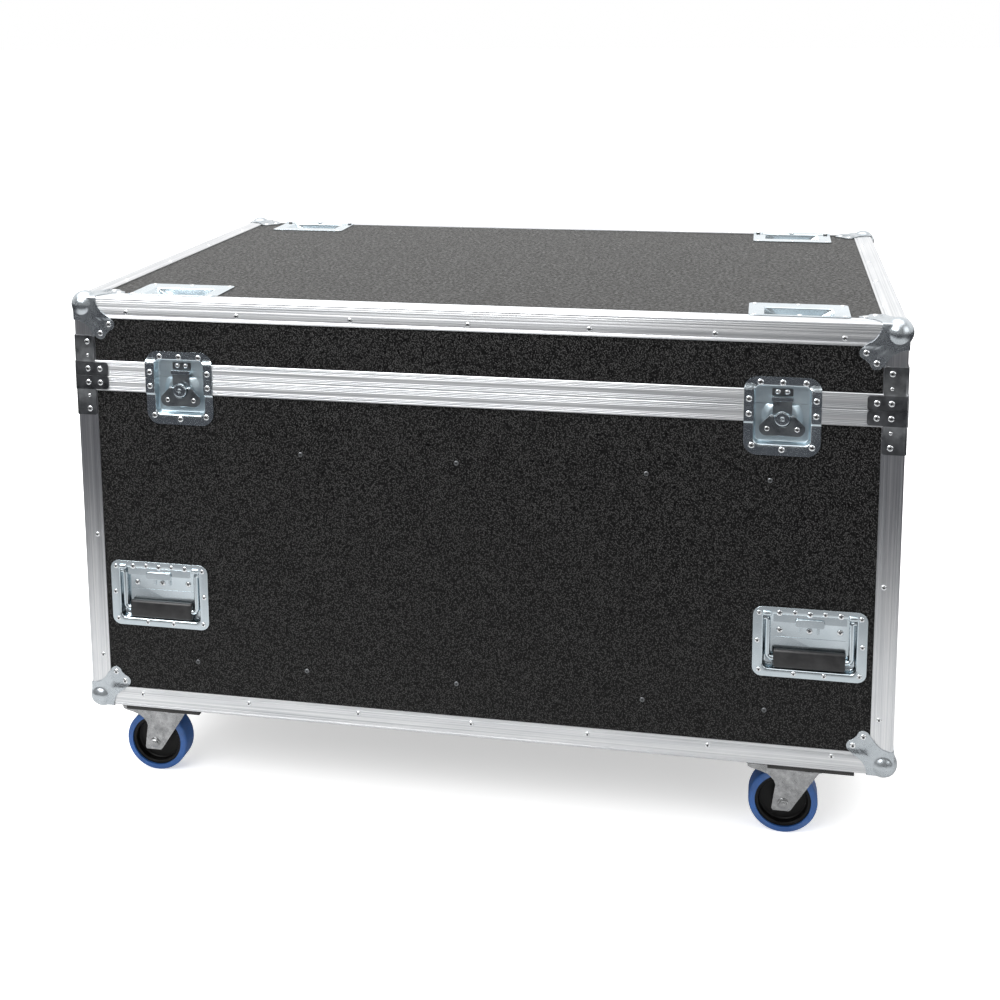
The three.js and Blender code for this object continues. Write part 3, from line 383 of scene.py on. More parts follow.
def facing(u, v, w):
    """Where a viewer's u, v and w lie in the frame."""
    return Matrix([Vector((*axis, 0)) for axis in (u, v, w)] + [Vector((0, 0, 0, 1))]).transposed()


# The frame's own axes, and each side of the case as its viewer sees it
AS_FRAME = Matrix.Identity(4)
FRONT = facing((1, 0, 0), (0, 0, 1), (0, 1, 0))
BACK = facing((-1, 0, 0), (0, 0, 1), (0, -1, 0))
RIGHT = facing((0, 1, 0), (0, 0, 1), (-1, 0, 0))
LEFT = facing((0, -1, 0), (0, 0, 1), (1, 0, 0))
ABOVE = facing((1, 0, 0), (0, 1, 0), (0, 0, -1))
ABOVE_TURNED = facing((-1, 0, 0), (0, -1, 0), (0, 0, -1))
BELOW = facing((1, 0, 0), (0, -1, 0), (0, 0, 1))


def moved(place, u=0.0, v=0.0, w=0.0):
    return place @ Matrix.Translation((u, v, w))


# Forms
class Form:
    """The points and faces of one piece, drawn at its place, with a finish and a grain for each."""

    def __init__(self, place=FRONT):
        self.place = place
        self.points = []
        self.faces = []
        self.tones = []
        self.grain = []

    def spot(self, u, v, w):
        return moved(self.place, u, v, w)

    def add(self, points, faces, place=None, tone=0, grain=None):
        place = self.place if place is None else place
        first = len(self.points)
        self.points.extend(place @ Vector(point) for point in points)
        self.grain.extend(grain or [(0, 0)] * len(points))
        flip = place.to_3x3().determinant() > 0
        for face in faces:
            ordered = reversed(face) if flip else face
            self.faces.append([first + index for index in ordered])
            self.tones.append(tone)


def loft(rings, closed=True, fill=True):
    """Faces between rings of equal count, and one over the last ring."""
    count = len(rings[0])
    spans = count if closed else count - 1
    points = [point for ring in rings for point in ring]
    faces = []
    for here in range(0, (len(rings) - 1) * count, count):
        there = here + count
        for i in range(spans):
            j = (i + 1) % count
            faces.append((here + i, here + j, there + j, there + i))
    if fill:
        faces.append(tuple(range(len(points) - count, len(points))))
    return points, faces


def circle(radius, w, sides):
    angles = [2 * math.pi * i / sides for i in range(sides)]
    return [(radius * math.cos(a), radius * math.sin(a), w) for a in angles]


def spun(profile, sides, fill=True):
    """A round form from (radius, height towards the viewer) pairs, outside first."""
    return loft([circle(radius, -height, sides) for radius, height in profile], fill=fill)


def fillet(steps):
    return [QUARTER * i / steps for i in range(steps + 1)]


def rounded(u0, u1, v0, v1, radii, steps=8, cuts=1):
    """A rectangle's outline with rounded corners, anticlockwise from its lower left."""
    try:
        r0, r1, r2, r3 = radii
    except TypeError:
        r0 = r1 = r2 = r3 = radii
    centres = (
        (u0 + r0, v0 + r0, r0, 2 * QUARTER), (u1 - r1, v0 + r1, r1, 3 * QUARTER),
        (u1 - r2, v1 - r2, r2, 0), (u0 + r3, v1 - r3, r3, QUARTER),
    )
    corners = []
    for u, v, radius, start in centres:
        corners.append([
            (u + radius * math.cos(start + a), v + radius * math.sin(start + a)) for a in fillet(steps)
        ])
    outline = []
    for corner, following in zip(corners, corners[1:] + corners[:1]):
        outline.extend(corner)
        outline.extend(part_way(corner[-1], following[0], i / cuts) for i in range(1, cuts))
    return outline


def part_way(first, second, share):
    return tuple(a + (b - a) * share for a, b in zip(first, second))


def level_ring(outline, w):
    """An outline lifted to a depth, which may depend on the place."""
    depth = w if callable(w) else (lambda u, v: w)
    return [(u, v, depth(u, v)) for u, v in outline]


def slab(outline, face, thickness):
    """A flat plate: its back, its front face and its edge."""
    count = len(outline)
    points = level_ring(outline, face + thickness) + level_ring(outline, face)
    faces = [tuple(range(count, 2 * count)), tuple(reversed(range(count)))]
    for i in range(count):
        j = (i + 1) % count
        faces.append((i, j, count + j, count + i))
    return points, faces


def tube(path, radius, sides):
    """A round bar along a path of points, its frame carried from point to point."""
    path = [Vector(point) for point in path]
    across = (path[1] - path[0]).normalized().orthogonal().normalized()
    rings = []
    for i, point in enumerate(path):
        tangent = (path[min(i + 1, len(path) - 1)] - path[max(i - 1, 0)]).normalized()
        across = (across - tangent * across.dot(tangent)).normalized()
        up = tangent.cross(across)
        rings.append([
            tuple(point + radius * (across * math.cos(a) + up * math.sin(a)))
            for a in (2 * math.pi * i / sides for i in range(sides))
        ])
    points, faces = loft(rings)
    faces.append(tuple(reversed(range(sides))))
    return points, faces


def smooth_step(low, high, value):
    share = min(max((value - low) / (high - low), 0), 1)
    return share * share * (3 - 2 * share)


# Pieces
def link(name, data):
    """Puts a new object into the scene."""
    made = bpy.data.objects.new(name, data)
    bpy.context.scene.collection.objects.link(made)
    return made


def mend(mesh, gap=0, outward=False):
    """Turns the faces of a mesh one way, after joining the points within a gap."""
    work = bmesh.new()
    work.from_mesh(mesh)
    if gap:
        bmesh.ops.remove_doubles(work, verts=work.verts, dist=gap * MM)
    bmesh.ops.recalc_face_normals(work, faces=work.faces)
    if outward:
        middle = Vector((0, 0, sum(v.co.z for v in work.verts) / len(work.verts)))
        if sum(f.normal.dot(f.calc_center_median() - middle) for f in work.faces) < 0:
            bmesh.ops.reverse_faces(work, faces=work.faces)
    work.to_mesh(mesh)
    work.free()


def piece(name, form, finishes, body, node=None, sharp=40, sheet=False):
    """Makes a form into an object that rides on a body and stands for a node.

    An open sheet keeps its faces as they are drawn.
    """
    mesh = bpy.data.meshes.new(name)
    mesh.from_pydata([tuple(point * MM) for point in form.points], [], form.faces)
    for item in finishes:
        mesh.materials.append(item)
    mesh.polygons.foreach_set("material_index", form.tones)
    layer = mesh.uv_layers.new(name="grain")
    for loop in mesh.loops:
        layer.data[loop.index].uv = form.grain[loop.vertex_index]
    if not sheet:
        mend(mesh)
    mesh.shade_smooth()
    mesh.set_sharp_from_angle(angle=math.radians(sharp))
    made = link(name, mesh)
    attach(made, body)
    if node:
        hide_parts(node)
    return made


def soften(made, width, segments=2, angle=35):
    """Rounds the edges of a piece by a width in millimetres."""
    edges = made.modifiers.new("soften", "BEVEL")
    edges.width = width * MM
    edges.segments = segments
    edges.limit_method = "ANGLE"
    edges.angle_limit = math.radians(angle)
    edges.harden_normals = True


def thicken(made, thickness, width, angle=50):
    """Gives a sheet its thickness behind its face, and softens its edges."""
    skin = made.modifiers.new("thicken", "SOLIDIFY")
    skin.thickness = thickness * MM
    skin.offset = -1
    soften(made, width, 2, angle)


def pressed(name, form, finishes, body, node, thickness, width):
    """A piece of pressed sheet, whose faces stay as drawn."""
    thicken(piece(name, form, finishes, body, node, 50, sheet=True), thickness, width)


class Shader:
    """The node tree of a material or world, with short calls for its nodes and links."""

    def __init__(self, owner, surface="Principled BSDF"):
        owner.use_nodes = True
        self.owner = owner
        self.tree = owner.node_tree
        self.surface = self.tree.nodes[surface]

    def give(self, sockets, inputs):
        for key, value in inputs.items():
            socket = sockets[key.replace("_", " ") if isinstance(key, str) else key]
            if isinstance(value, bpy.types.NodeSocket):
                self.tree.links.new(value, socket)
            else:
                socket.default_value = value

    def put(self, **inputs):
        self.give(self.surface.inputs, inputs)

    def node(self, kind, settings=None, **inputs):
        made = self.tree.nodes.new("ShaderNode" + kind)
        for key, value in (settings or {}).items():
            setattr(made, key, value)
        self.give(made.inputs, inputs)
        return made

    def place(self, scale=(1, 1, 1), grain=False):
        if grain:
            source = self.node("UVMap", {"uv_map": "grain"}).outputs["UV"]
        else:
            source = self.node("TexCoord").outputs["Object"]
        return self.node("Mapping", Vector=source, Scale=scale).outputs["Vector"]

    def axes(self, point):
        return self.node("SeparateXYZ", Vector=point).outputs

    def noise(self, vector, scale, detail, roughness):
        made = self.node("TexNoise", Vector=vector, Scale=scale, Detail=detail, Roughness=roughness)
        return made.outputs["Fac"]

    def cells(self, vector, scale, output):
        made = self.node("TexVoronoi", {"feature": "F1"}, Vector=vector, Scale=scale)
        return made.outputs[output]

    def span(self, value, low, high, to_low, to_high):
        made = self.node(
            "MapRange", Value=value, From_Min=low, From_Max=high, To_Min=to_low, To_Max=to_high,
        )
        return made.outputs["Result"]

    def ramp(self, value, *stops):
        made = self.node("ValToRGB", Fac=value)
        elements = made.color_ramp.elements
        while len(elements) < len(stops):
            elements.new(0.5)
        for element, (position, colour) in zip(elements, stops):
            element.position = position
            element.color = (*colour, 1)
        return made.outputs["Color"]

    def mix(self, share, first, second):
        made = self.node("Mix", {"data_type": "RGBA"}, Factor=share)
        self.give(made.inputs, {6: first, 7: second})
        return made.outputs[2]

    def math(self, operation, first, second=0.0):
        made = self.node("Math", {"operation": operation})
        self.give(made.inputs, {0: first, 1: second})
        return made.outputs[0]

    def times(self, first, second):
        return self.math("MULTIPLY", first, second)

    def bump(self, height, strength, distance):
        return self.node("Bump", Height=height, Strength=strength, Distance=distance).outputs["Normal"]


def finish(name):
    """A new material, in a shader that builds its nodes."""
    owner = bpy.data.materials.new(name)
    return Shader(owner)


def worn_metal(name, dark, light, smooth, rough, scale, grit):
    """Plated or plain metal: clouded colour, uneven gloss and a fine grit."""
    shader = finish(name)
    place = shader.place()
    clouds = shader.noise(place, scale, 4.0, 0.6)
    specks = shader.noise(place, scale * 22, 2.0, 0.7)
    colour = shader.ramp(clouds, (0.3, dark), (0.7, light))
    both = shader.math("ADD", shader.times(clouds, 0.6), shader.times(specks, 0.4))
    gloss = shader.span(both, 0.3, 0.7, smooth, rough)
    shader.put(Base_Color=colour, Roughness=gloss, Metallic=1.0, Normal=shader.bump(specks, grit, 0.00008))
    return shader.owner


def drawn_aluminium():
    """Extruded aluminium: streaks and fine lines run the length of each bar."""
    shader = finish("drawn_aluminium")
    streaks = shader.noise(shader.place((1.3, 400, 1), grain=True), 1.0, 2.0, 0.8)
    lines = shader.noise(shader.place((2, 700, 1), grain=True), 1.0, 1.0, 0.6)
    stains = shader.noise(shader.place((9, 30, 1), grain=True), 1.0, 3.0, 0.5)
    tone = shader.ramp(
        streaks, (0.3, (0.44, 0.46, 0.48)), (0.46, (0.67, 0.69, 0.71)), (0.64, (0.88, 0.89, 0.9)),
    )
    dull = shader.ramp(stains, (0.35, (0.62, 0.63, 0.65)), (0.7, (0.86, 0.86, 0.86)))
    shader.put(
        Base_Color=shader.mix(0.3, tone, dull), Roughness=shader.span(streaks, 0.3, 0.7, 0.28, 0.42),
        Metallic=1.0, Anisotropic=0.75, Anisotropic_Rotation=0.25,
    )
    along = shader.node("Tangent", {"direction_type": "UV_MAP", "uv_map": "grain"}).outputs["Tangent"]
    shader.put(Tangent=along, Normal=shader.bump(lines, 0.15, 0.0001))
    return shader.owner


def galvanised_steel():
    """Galvanised steel: broad spangles of grey over a mottled, half-dull surface."""
    shader = finish("galvanised_steel")
    place = shader.place()
    spangle = shader.cells(place, 420.0, "Color")
    mottle = shader.noise(place, 85.0, 5.0, 0.7)
    grey = shader.node("SeparateColor", Color=spangle).outputs["Red"]
    both = shader.math("ADD", shader.times(grey, 0.1), shader.times(mottle, 0.9))
    colour = shader.ramp(
        both, (0.3, (0.24, 0.245, 0.25)), (0.52, (0.37, 0.375, 0.38)), (0.74, (0.55, 0.555, 0.56)),
    )
    gloss = shader.span(both, 0.3, 0.7, 0.32, 0.17)
    shader.put(Base_Color=colour, Roughness=gloss, Metallic=1.0, Normal=shader.bump(mottle, 0.3, 0.0004))
    return shader.owner


def pebbled(shader, place):
    """Colour, roughness and normal of a black laminate pressed with small pebbles. Its colour is lighter on
    the pebble tops and near black between them: painted highlight and painted shade, from the pattern that
    also gives the bump.
    """
    pebbles = shader.cells(place, 500.0, "Distance")
    grain = shader.noise(place, 210.0, 2.0, 0.6)
    tops = shader.span(pebbles, 0.12, 0.52, 1.0, 0.0)
    painted_light_and_height = shader.times(tops, shader.span(grain, 0.35, 0.65, 0.78, 1.0))
    # Pebble tops lighter and valleys near black in the colour itself: painted highlight and painted shade
    colour = shader.ramp(painted_light_and_height, (0.05, (0.0008, 0.0008, 0.0009)), (0.95, (0.046, 0.0453, 0.0448)))
    rough = shader.span(grain, 0.36, 0.64, 0.66, 0.26)
    return colour, rough, shader.bump(painted_light_and_height, 0.9, 0.0009)


def plywood(shader):
    """Colour of birch: long pale grain with darker streaks, lengthwise on every side."""
    upright = shader.noise(shader.place((5, 5, 130)), 1.0, 4.0, 0.6)
    level = shader.noise(shader.place((4, 130, 4)), 1.0, 4.0, 0.6)
    height = shader.axes(shader.place())["Z"]
    roof = shader.math("GREATER_THAN", height, (TOP - PANEL_INNER - SKIN_MARGIN) * MM)
    floor = shader.math("LESS_THAN", height, (BOTTOM + PANEL_INNER + SKIN_MARGIN) * MM)
    lying = shader.math("MAXIMUM", roof, floor)
    standing = shader.math("SUBTRACT", 1.0, lying)
    figure = shader.math("ADD", shader.times(upright, standing), shader.times(level, lying))
    return shader.ramp(
        figure, (0.3, (0.47, 0.36, 0.24)), (0.5, (0.56, 0.45, 0.32)), (0.72, (0.62, 0.52, 0.39)),
    )


def outer_share(shader):
    """One on the outside faces of the case's panels, and nought within."""
    axes = shader.axes(shader.node("TexCoord").outputs["Object"])
    limits = (
        (shader.math("ABSOLUTE", axes["X"]), HALF_LENGTH), (shader.math("ABSOLUTE", axes["Y"]), HALF_DEPTH),
        (axes["Z"], TOP),
    )
    share = shader.math("LESS_THAN", axes["Z"], (BOTTOM + PANEL_INSET + SKIN_MARGIN) * MM)
    for value, limit in limits:
        beyond = shader.math("GREATER_THAN", value, (limit - PANEL_INSET - SKIN_MARGIN) * MM)
        share = shader.math("MAXIMUM", beyond, share)
    return share


def panel_board():
    """A panel: pebbled laminate on its outside, and bare birch plywood within."""
    shader = finish("panel_board")
    outside = outer_share(shader)
    colour, rough, normal = pebbled(shader, shader.place())
    wood = plywood(shader)
    shader.put(Base_Color=shader.mix(outside, wood, colour), Normal=normal)
    inside_rough = shader.times(shader.math("SUBTRACT", 1.0, outside), 0.62)
    shader.put(
        Roughness=shader.math("ADD", shader.times(rough, outside), inside_rough), Specular_IOR_Level=0.16,
        Sheen_Weight=0.08, Sheen_Roughness=0.4, Sheen_Tint=(1.0, 0.97, 0.9, 1.0),
    )
    return shader.owner


def moulded(name, dark, light, smooth, rough, scale, depth=0.00012, dust=None, specular=0.5):
    """A moulded rubber or plastic: a stippled skin with faint scuffs."""
    shader = finish(name)
    place = shader.place()
    scuffs = shader.noise(place, 55.0, 4.0, 0.65)
    stipple = shader.noise(place, scale, 2.0, 0.6)
    colour = shader.ramp(scuffs, (0.35, dark), (0.7, light))
    if dust:
        settled = shader.span(shader.noise(place, 24.0, 5.0, 0.7), 0.52, 0.75, 0.0, 0.35)
        colour = shader.mix(settled, colour, dust)
    shader.put(
        Base_Color=colour, Roughness=shader.span(scuffs, 0.3, 0.7, smooth, rough),
        Specular_IOR_Level=specular, Normal=shader.bump(stipple, 0.4, depth),
    )
    return shader.owner


ALUMINIUM = drawn_aluminium()
ZINC = worn_metal("bright_zinc", (0.54, 0.61, 0.65), (0.66, 0.73, 0.77), 0.13, 0.24, 26.0, 0.08)
SATIN_ZINC = worn_metal("satin_zinc", (0.5, 0.6, 0.66), (0.66, 0.76, 0.81), 0.34, 0.46, 30.0, 0.1)
CORNER_ZINC = worn_metal("corner_zinc", (0.42, 0.46, 0.49), (0.57, 0.61, 0.64), 0.22, 0.33, 30.0, 0.08)
DARK_ZINC = worn_metal(
    "dark_zinc", (0.11, 0.115, 0.12), (0.24, 0.25, 0.26), 0.24, 0.4, 55.0, 0.4,
)
LATCH_ZINC = worn_metal(
    "latch_zinc", (0.2, 0.22, 0.235), (0.36, 0.39, 0.41), 0.24, 0.36, 45.0, 0.3,
)
RIVET_STEEL = worn_metal("rivet_steel", (0.72, 0.75, 0.77), (0.92, 0.93, 0.94), 0.16, 0.28, 200.0, 0.25)
# Near black: painted shade in the hollow of a pop rivet round its mandrel, and in a screw's cross slot
HOLLOW_SHADE = worn_metal("painted_hollow_shade", (0.03, 0.03, 0.03), (0.1, 0.1, 0.1), 0.4, 0.6, 300.0, 0.25)
# The head of a rivet or screw, and the painted shade in a rivet's hollow and a screw's cross slot
HEADS = (RIVET_STEEL, HOLLOW_SHADE)
GALVANISED = galvanised_steel()
PANEL = panel_board()
GRIP_RUBBER = moulded("grip_rubber", (0.006, 0.006, 0.0065), (0.018, 0.018, 0.019), 0.3, 0.44, 900.0)
HUB_PLASTIC = moulded(
    "hub_plastic", (0.002, 0.002, 0.002), (0.006, 0.006, 0.006), 0.3, 0.45, 900.0, specular=0.2,
)
TYRE_RUBBER = moulded(
    "tyre_rubber", (0.009, 0.055, 0.19), (0.014, 0.08, 0.27), 0.48, 0.64, 700.0, 0.00015,
    (0.1, 0.14, 0.2, 1),
)
BOARD_PAINT = moulded("board_paint", (0.01, 0.01, 0.01), (0.028, 0.026, 0.025), 0.5, 0.7, 300.0)


# Angle extrusions
def grooved_line(start, end, grooves):
    """Offsets along an outer face, from start to end, dipping at each groove."""
    line = [(start, 0)]
    step = GROOVE_WIDTH / 2 * (1 if end > start else -1)
    for middle, depth in sorted(grooves, reverse=start > end):
        line += [(middle - step, 0), (middle, depth), (middle + step, 0)]
    return line + [(end, 0)]


def angle_profile():
    """The section of an angle: (p, q) from the outer corner along its two faces."""
    face = grooved_line(EDGE_WIDTH, EDGE_ROUND, EDGE_GROOVES)
    bend = [(EDGE_ROUND * (1 - math.sin(a)), EDGE_ROUND * (1 - math.cos(a))) for a in fillet(6)[1:-1]]
    second = [(depth, q) for q, depth in reversed(face)]
    inner = [(EDGE_WALL, EDGE_WIDTH), (EDGE_WALL, EDGE_WALL), (EDGE_WIDTH, EDGE_WALL)]
    return face + bend + second + inner


def bar(form, profile, point, start, end):
    """A section run from start to end, where both may depend on the section's own point."""
    around = [0.0]
    for here, there in zip(profile, profile[1:]):
        around.append(around[-1] + math.dist(here, there))
    ends = []
    for limit in (start, end):
        ends.append([(limit(p, q) if callable(limit) else limit, p, q) for p, q in profile])
    points = [point(*spot) for ring in ends for spot in ring]
    grain = [(spot[0] * MM, offset * MM) for ring in ends for spot, offset in zip(ring, around)]
    count = len(profile)
    faces = [(i, (i + 1) % count, count + (i + 1) % count, count + i) for i in range(count)]
    faces += [tuple(range(count)), tuple(reversed(range(count, 2 * count)))]
    form.add(points, faces, grain=grain)


def mitre(half, direction):
    """An end cut at 45 degrees, and square where a ball takes the corner's place."""
    return lambda p, q: direction * (half - max(p, q, CORNER_RELIEF))


def frame_bars(outer, inward, post_end):
    """The four horizontal angles at one end of the case, and its four posts."""
    form = Form(AS_FRAME)
    profile = angle_profile()
    for side in (-1, 1):
        bar(
            form, profile, lambda s, p, q: (s, side * (HALF_DEPTH - q), outer + inward * p),
            mitre(HALF_LENGTH, -1), mitre(HALF_LENGTH, 1),
        )
        bar(
            form, profile, lambda s, p, q: (side * (HALF_LENGTH - q), s, outer + inward * p),
            mitre(HALF_DEPTH, -1), mitre(HALF_DEPTH, 1),
        )
    for _, sx, sy in CORNERS:
        bar(
            form, profile, lambda s, p, q: (sx * (HALF_LENGTH - p), sy * (HALF_DEPTH - q), s),
            lambda p, q: outer + inward * max(p, q, CORNER_RELIEF), post_end,
        )
    return form


def edge_frames():
    reach = CLOSURE_HEIGHT + FIT_GAP
    piece("base_edges", frame_bars(BOTTOM, 1, SEAM - reach), [ALUMINIUM], "base", "base_edge_frame")
    piece("lid_edges", frame_bars(TOP, -1, SEAM + reach), [ALUMINIUM], "lid", "lid_edge_frame")


# Closure extrusions: depth inward from the case side against height from the seam
def closure_profile(tongued):
    """The section's outer skin and inner leg, and its line along the seam."""
    web = CLOSURE_WEB if tongued else TONGUE_HEIGHT + TONGUE_CLEARANCE + GROOVE_ROOF
    inner_far = CLOSURE_INNER + CLOSURE_WEB
    leg_end = web + CLOSURE_INNER_LEG
    leg = grooved_line(CLOSURE_LIP, CLOSURE_HEIGHT - CLOSURE_LIP, CLOSURE_GROOVES)
    skin = [(CLOSURE_LIP - CLOSURE_PROUD, 0)]
    skin += [(depth - CLOSURE_PROUD, height) for height, depth in leg]
    skin += [
        (CLOSURE_LIP - CLOSURE_PROUD, CLOSURE_HEIGHT), (EDGE_WALL, CLOSURE_HEIGHT), (EDGE_WALL, web),
        (CLOSURE_INNER, web), (CLOSURE_INNER, leg_end), (inner_far, leg_end), (inner_far, 0),
    ]
    half = TONGUE_HALF if tongued else TONGUE_HALF + TONGUE_CLEARANCE
    low = TONGUE_MIDDLE - half
    high = TONGUE_MIDDLE + half
    if not tongued:
        rise = TONGUE_HEIGHT + TONGUE_CLEARANCE
        return skin, [(high, 0), (high, rise), (low, rise), (low, 0)]
    shoulder = TONGUE_CHAMFER - TONGUE_HEIGHT
    return skin, [
        (high, 0), (high, shoulder), (high - TONGUE_CHAMFER, -TONGUE_HEIGHT),
        (low + TONGUE_CHAMFER, -TONGUE_HEIGHT), (low, shoulder), (low, 0),
    ]


def depth_mitre(half, direction):
    return lambda p, q: direction * (half - p)


def closure_bars(edge, away):
    """The ring of closure bars, with the front one opened for the latches' pockets."""
    form = Form(AS_FRAME)
    tongued = away < 0
    skin, seam = closure_profile(tongued)
    full = skin + seam
    inner = [(p, q) for p, q in skin if p >= CLOSURE_INNER]
    ends = (depth_mitre(HALF_LENGTH, -1), depth_mitre(HALF_LENGTH, 1))
    room = LATCH_POCKET_HALF + SHEET + FIT_GAP
    left, right = [(middle - room, middle + room) for middle in (-LATCH_X, LATCH_X)]

    def along(side):
        return lambda s, p, q: (s, side * (HALF_DEPTH - p), edge + away * q)

    for start, end in ((ends[0], left[0]), (left[1], right[0]), (right[1], ends[1])):
        bar(form, full, along(-1), start, end)
    for opening in (left, right):
        bar(form, inner, along(-1), *opening)
    bar(form, skin if tongued else full, along(1), *ends)
    for side in (-1, 1):
        bar(
            form, full, lambda s, p, q: (side * (HALF_LENGTH - p), s, edge + away * q),
            depth_mitre(HALF_DEPTH, -1), depth_mitre(HALF_DEPTH, 1),
        )
    return form


# Corner braces: a bent sheet, drawn flat along the case's perimeter and wrapped round its corner
def wrapped(t, out):
    """(x, y) from the case corner, for a way t round it and a height out of its faces."""
    bend = BRACE_BEND + out
    half = bend * QUARTER / 2
    if abs(t) <= half:
        a = QUARTER / 2 * (1 + t / half)
        return BRACE_BEND - bend * math.cos(a), BRACE_BEND - bend * math.sin(a)
    if t > 0:
        return BRACE_BEND + (t - half), -out
    return -out, BRACE_BEND + (-t - half)


def brace_rows():
    """(height from the seam, half width, height out of the case) down the brace."""
    foot_end = CLOSURE_HEIGHT - BRACE_FOOT_MARGIN
    leg_end = CLOSURE_HEIGHT + FIT_GAP + BRACE_LEG_LENGTH
    rows = []
    for a in fillet(4):
        width = BRACE_FOOT - BRACE_FOOT_ROUND * (1 - math.sin(a))
        rows.append((BRACE_FOOT_ROUND * (1 - math.cos(a)), width, BRACE_FOOT_OUT))
    rows += [(foot_end - height, width, out) for height, width, out in reversed(rows)]
    return rows + [
        (foot_end + BRACE_NECK, BRACE_LEG, BRACE_FOOT_OUT),
        (foot_end + BRACE_STEP[0], BRACE_LEG, BRACE_FOOT_OUT),
        (foot_end + BRACE_STEP[1], BRACE_LEG, BRACE_LEG_OUT),
        (leg_end - BRACE_LEG_CHAMFER, BRACE_LEG, BRACE_LEG_OUT),
        (leg_end, BRACE_LEG - BRACE_LEG_CHAMFER, BRACE_LEG_OUT),
    ]


def brace(form, sx, sy, edge, away):
    """One corner's brace: an open sheet, turned to face outward."""
    bends = [-t for t in reversed(BRACE_BEND_WAYS)] + [0.0, *BRACE_BEND_WAYS]
    rings = []
    for height, width, out in brace_rows():
        spots = [wrapped(t, out) for t in (-width, *bends, width)]
        level = edge + away * height
        rings.append([(sx * (HALF_LENGTH - x), sy * (HALF_DEPTH - y), level) for x, y in spots])
    points, faces = loft(rings, closed=False, fill=False)
    if sx * sy * away > 0:
        faces = [tuple(reversed(face)) for face in faces]
    form.add(points, faces)


def closures():
    for body, edge, away in HALVES:
        node = f"{body}_closure_frame"
        piece(f"{body}_closure", closure_bars(edge, away), [ALUMINIUM], body, node)
        form = Form(AS_FRAME)
        for _, sx, sy in CORNERS:
            brace(form, sx, sy, edge, away)
        made = piece(f"{body}_braces", form, [DARK_ZINC], body, node, sheet=True)
        thicken(made, BRACE_THICKNESS, 0.4, 40)


# Ball corners: two polar patches of each face meet along the folds
def corner_outline():
    """Edge of one face's plate, from the fold on u to the fold on v."""
    r = SCALLOP_CENTRE - CORNER_REACH
    line = [(CORNER_REACH, -CORNER_SKIN)]
    for i in range(SCALLOP_STEPS + 1):
        a = math.pi - SCALLOP_TURN * i / SCALLOP_STEPS
        line.append((SCALLOP_CENTRE + r * math.cos(a), r * math.sin(a)))
    for i in range(LOBE_STEPS + 1):
        a = math.pi * (LOBE_START + LOBE_SWEEP * i / LOBE_STEPS)
        line.append((LOBE_FAR + LOBE_RADIUS * math.cos(a), LOBE_NEAR + LOBE_RADIUS * math.sin(a)))
    return line + [(v, u) for u, v in reversed(line)]


def smooth_max(a, b, k):
    overlap = max(k - abs(a - b), 0) / k
    return max(a, b) + overlap * overlap * k / 4


def swelled(u, v):
    """A point of the plate's plane, bent over the fold and pushed out over the ball."""
    step = PANEL_INSET * smooth_step(EDGE_WIDTH, EDGE_WIDTH + PLATE_STEP, min(u, v))
    point = Vector((u, v, -CORNER_SKIN + step))
    limit = CORNER_BEND - CORNER_SKIN
    if u < limit or v < limit:
        core = Vector((max(u, limit), max(v, limit), limit))
        point = core + (Vector((u, v, -CORNER_SKIN)) - core).normalized() * CORNER_BEND
    centre = Vector((BALL_CENTRE,) * 3)
    radial = point - centre
    distance = reach = radial.length
    if u < BALL_CENTRE and v < BALL_CENTRE:
        reach = min(distance, BALL_FOLD)
    return tuple(centre + radial * (smooth_max(reach, BALL_RADIUS, BALL_FILLET) / distance))


def corner_patch():
    """One face of the ball corner as a polar grid about the ball's middle."""
    fold = CORNER_REACH + CORNER_SKIN
    along = [CORNER_REACH - fold * i / FOLD_STEPS for i in range(1, FOLD_STEPS + 1)]
    edge = corner_outline() + [(-CORNER_SKIN, t) for t in along]
    edge += [(t, -CORNER_SKIN) for t in reversed(along[:-1])]
    limit = BALL_RINGS[-1]
    lines = []
    for u, v in edge:
        du = u - BALL_CENTRE
        dv = v - BALL_CENTRE
        far = math.hypot(du, dv)
        ways = [limit + (far - limit) * share for share in reversed(PLATE_SHARES)]
        ways += reversed(BALL_RINGS)
        spots = [(BALL_CENTRE + du * way / far, BALL_CENTRE + dv * way / far) for way in ways]
        lines.append([swelled(*spot) for spot in spots])
    return loft(list(zip(*lines)))


def corner_places(sx, sy, body):
    """Where the three faces of a ball corner lie, each with the case towards its +u, +v and +w."""
    low = body == "base"
    spread = Matrix.Diagonal((-sx, -sy, 1 if low else -1, 1))
    place = Matrix.Translation((sx * HALF_LENGTH, sy * HALF_DEPTH, BOTTOM if low else TOP)) @ spread
    axes = ((1, 0, 0), (0, 1, 0), (0, 0, 1))
    return [place @ facing(*axes[i:], *axes[:i]) for i in (0, 1, 2)]


def ball_corners():
    patch = corner_patch()
    for body in ("base", "lid"):
        for name, sx, sy in CORNERS:
            form = Form()
            for place in corner_places(sx, sy, body):
                form.add(*patch, place)
            node = f"{body}_corner_{name}"
            made = piece(f"{node}_shell", form, [CORNER_ZINC], body, node, 60)
            mend(made.data, 0.02, outward=True)
            thicken(made, CORNER_SHEET, 0.3)


# Pressed dishes
def dish(flange, pocket, depth, floor, roll=DISH_ROLL, bottom=DISH_FILLET, draft=DISH_DRAFT, between=3):
    """Rings of a pressed dish from its rim, over the rolled edge, down to its floor."""
    first = pocket(roll)
    rings = []
    for i in range(between):
        outline = [part_way(outer, inner, i / between) for outer, inner in zip(flange, first)]
        rings.append(level_ring(outline, depth))
    for a in fillet(4):
        sink = roll * (1 - math.cos(a))
        rings.append([(u, v, depth(u, v) + sink) for u, v in pocket(roll * (1 - math.sin(a)))])
    for a in fillet(4):
        outline = pocket(-draft - bottom * (1 - math.cos(a)))
        rings.append(level_ring(outline, floor - bottom * (1 - math.sin(a))))
    return rings


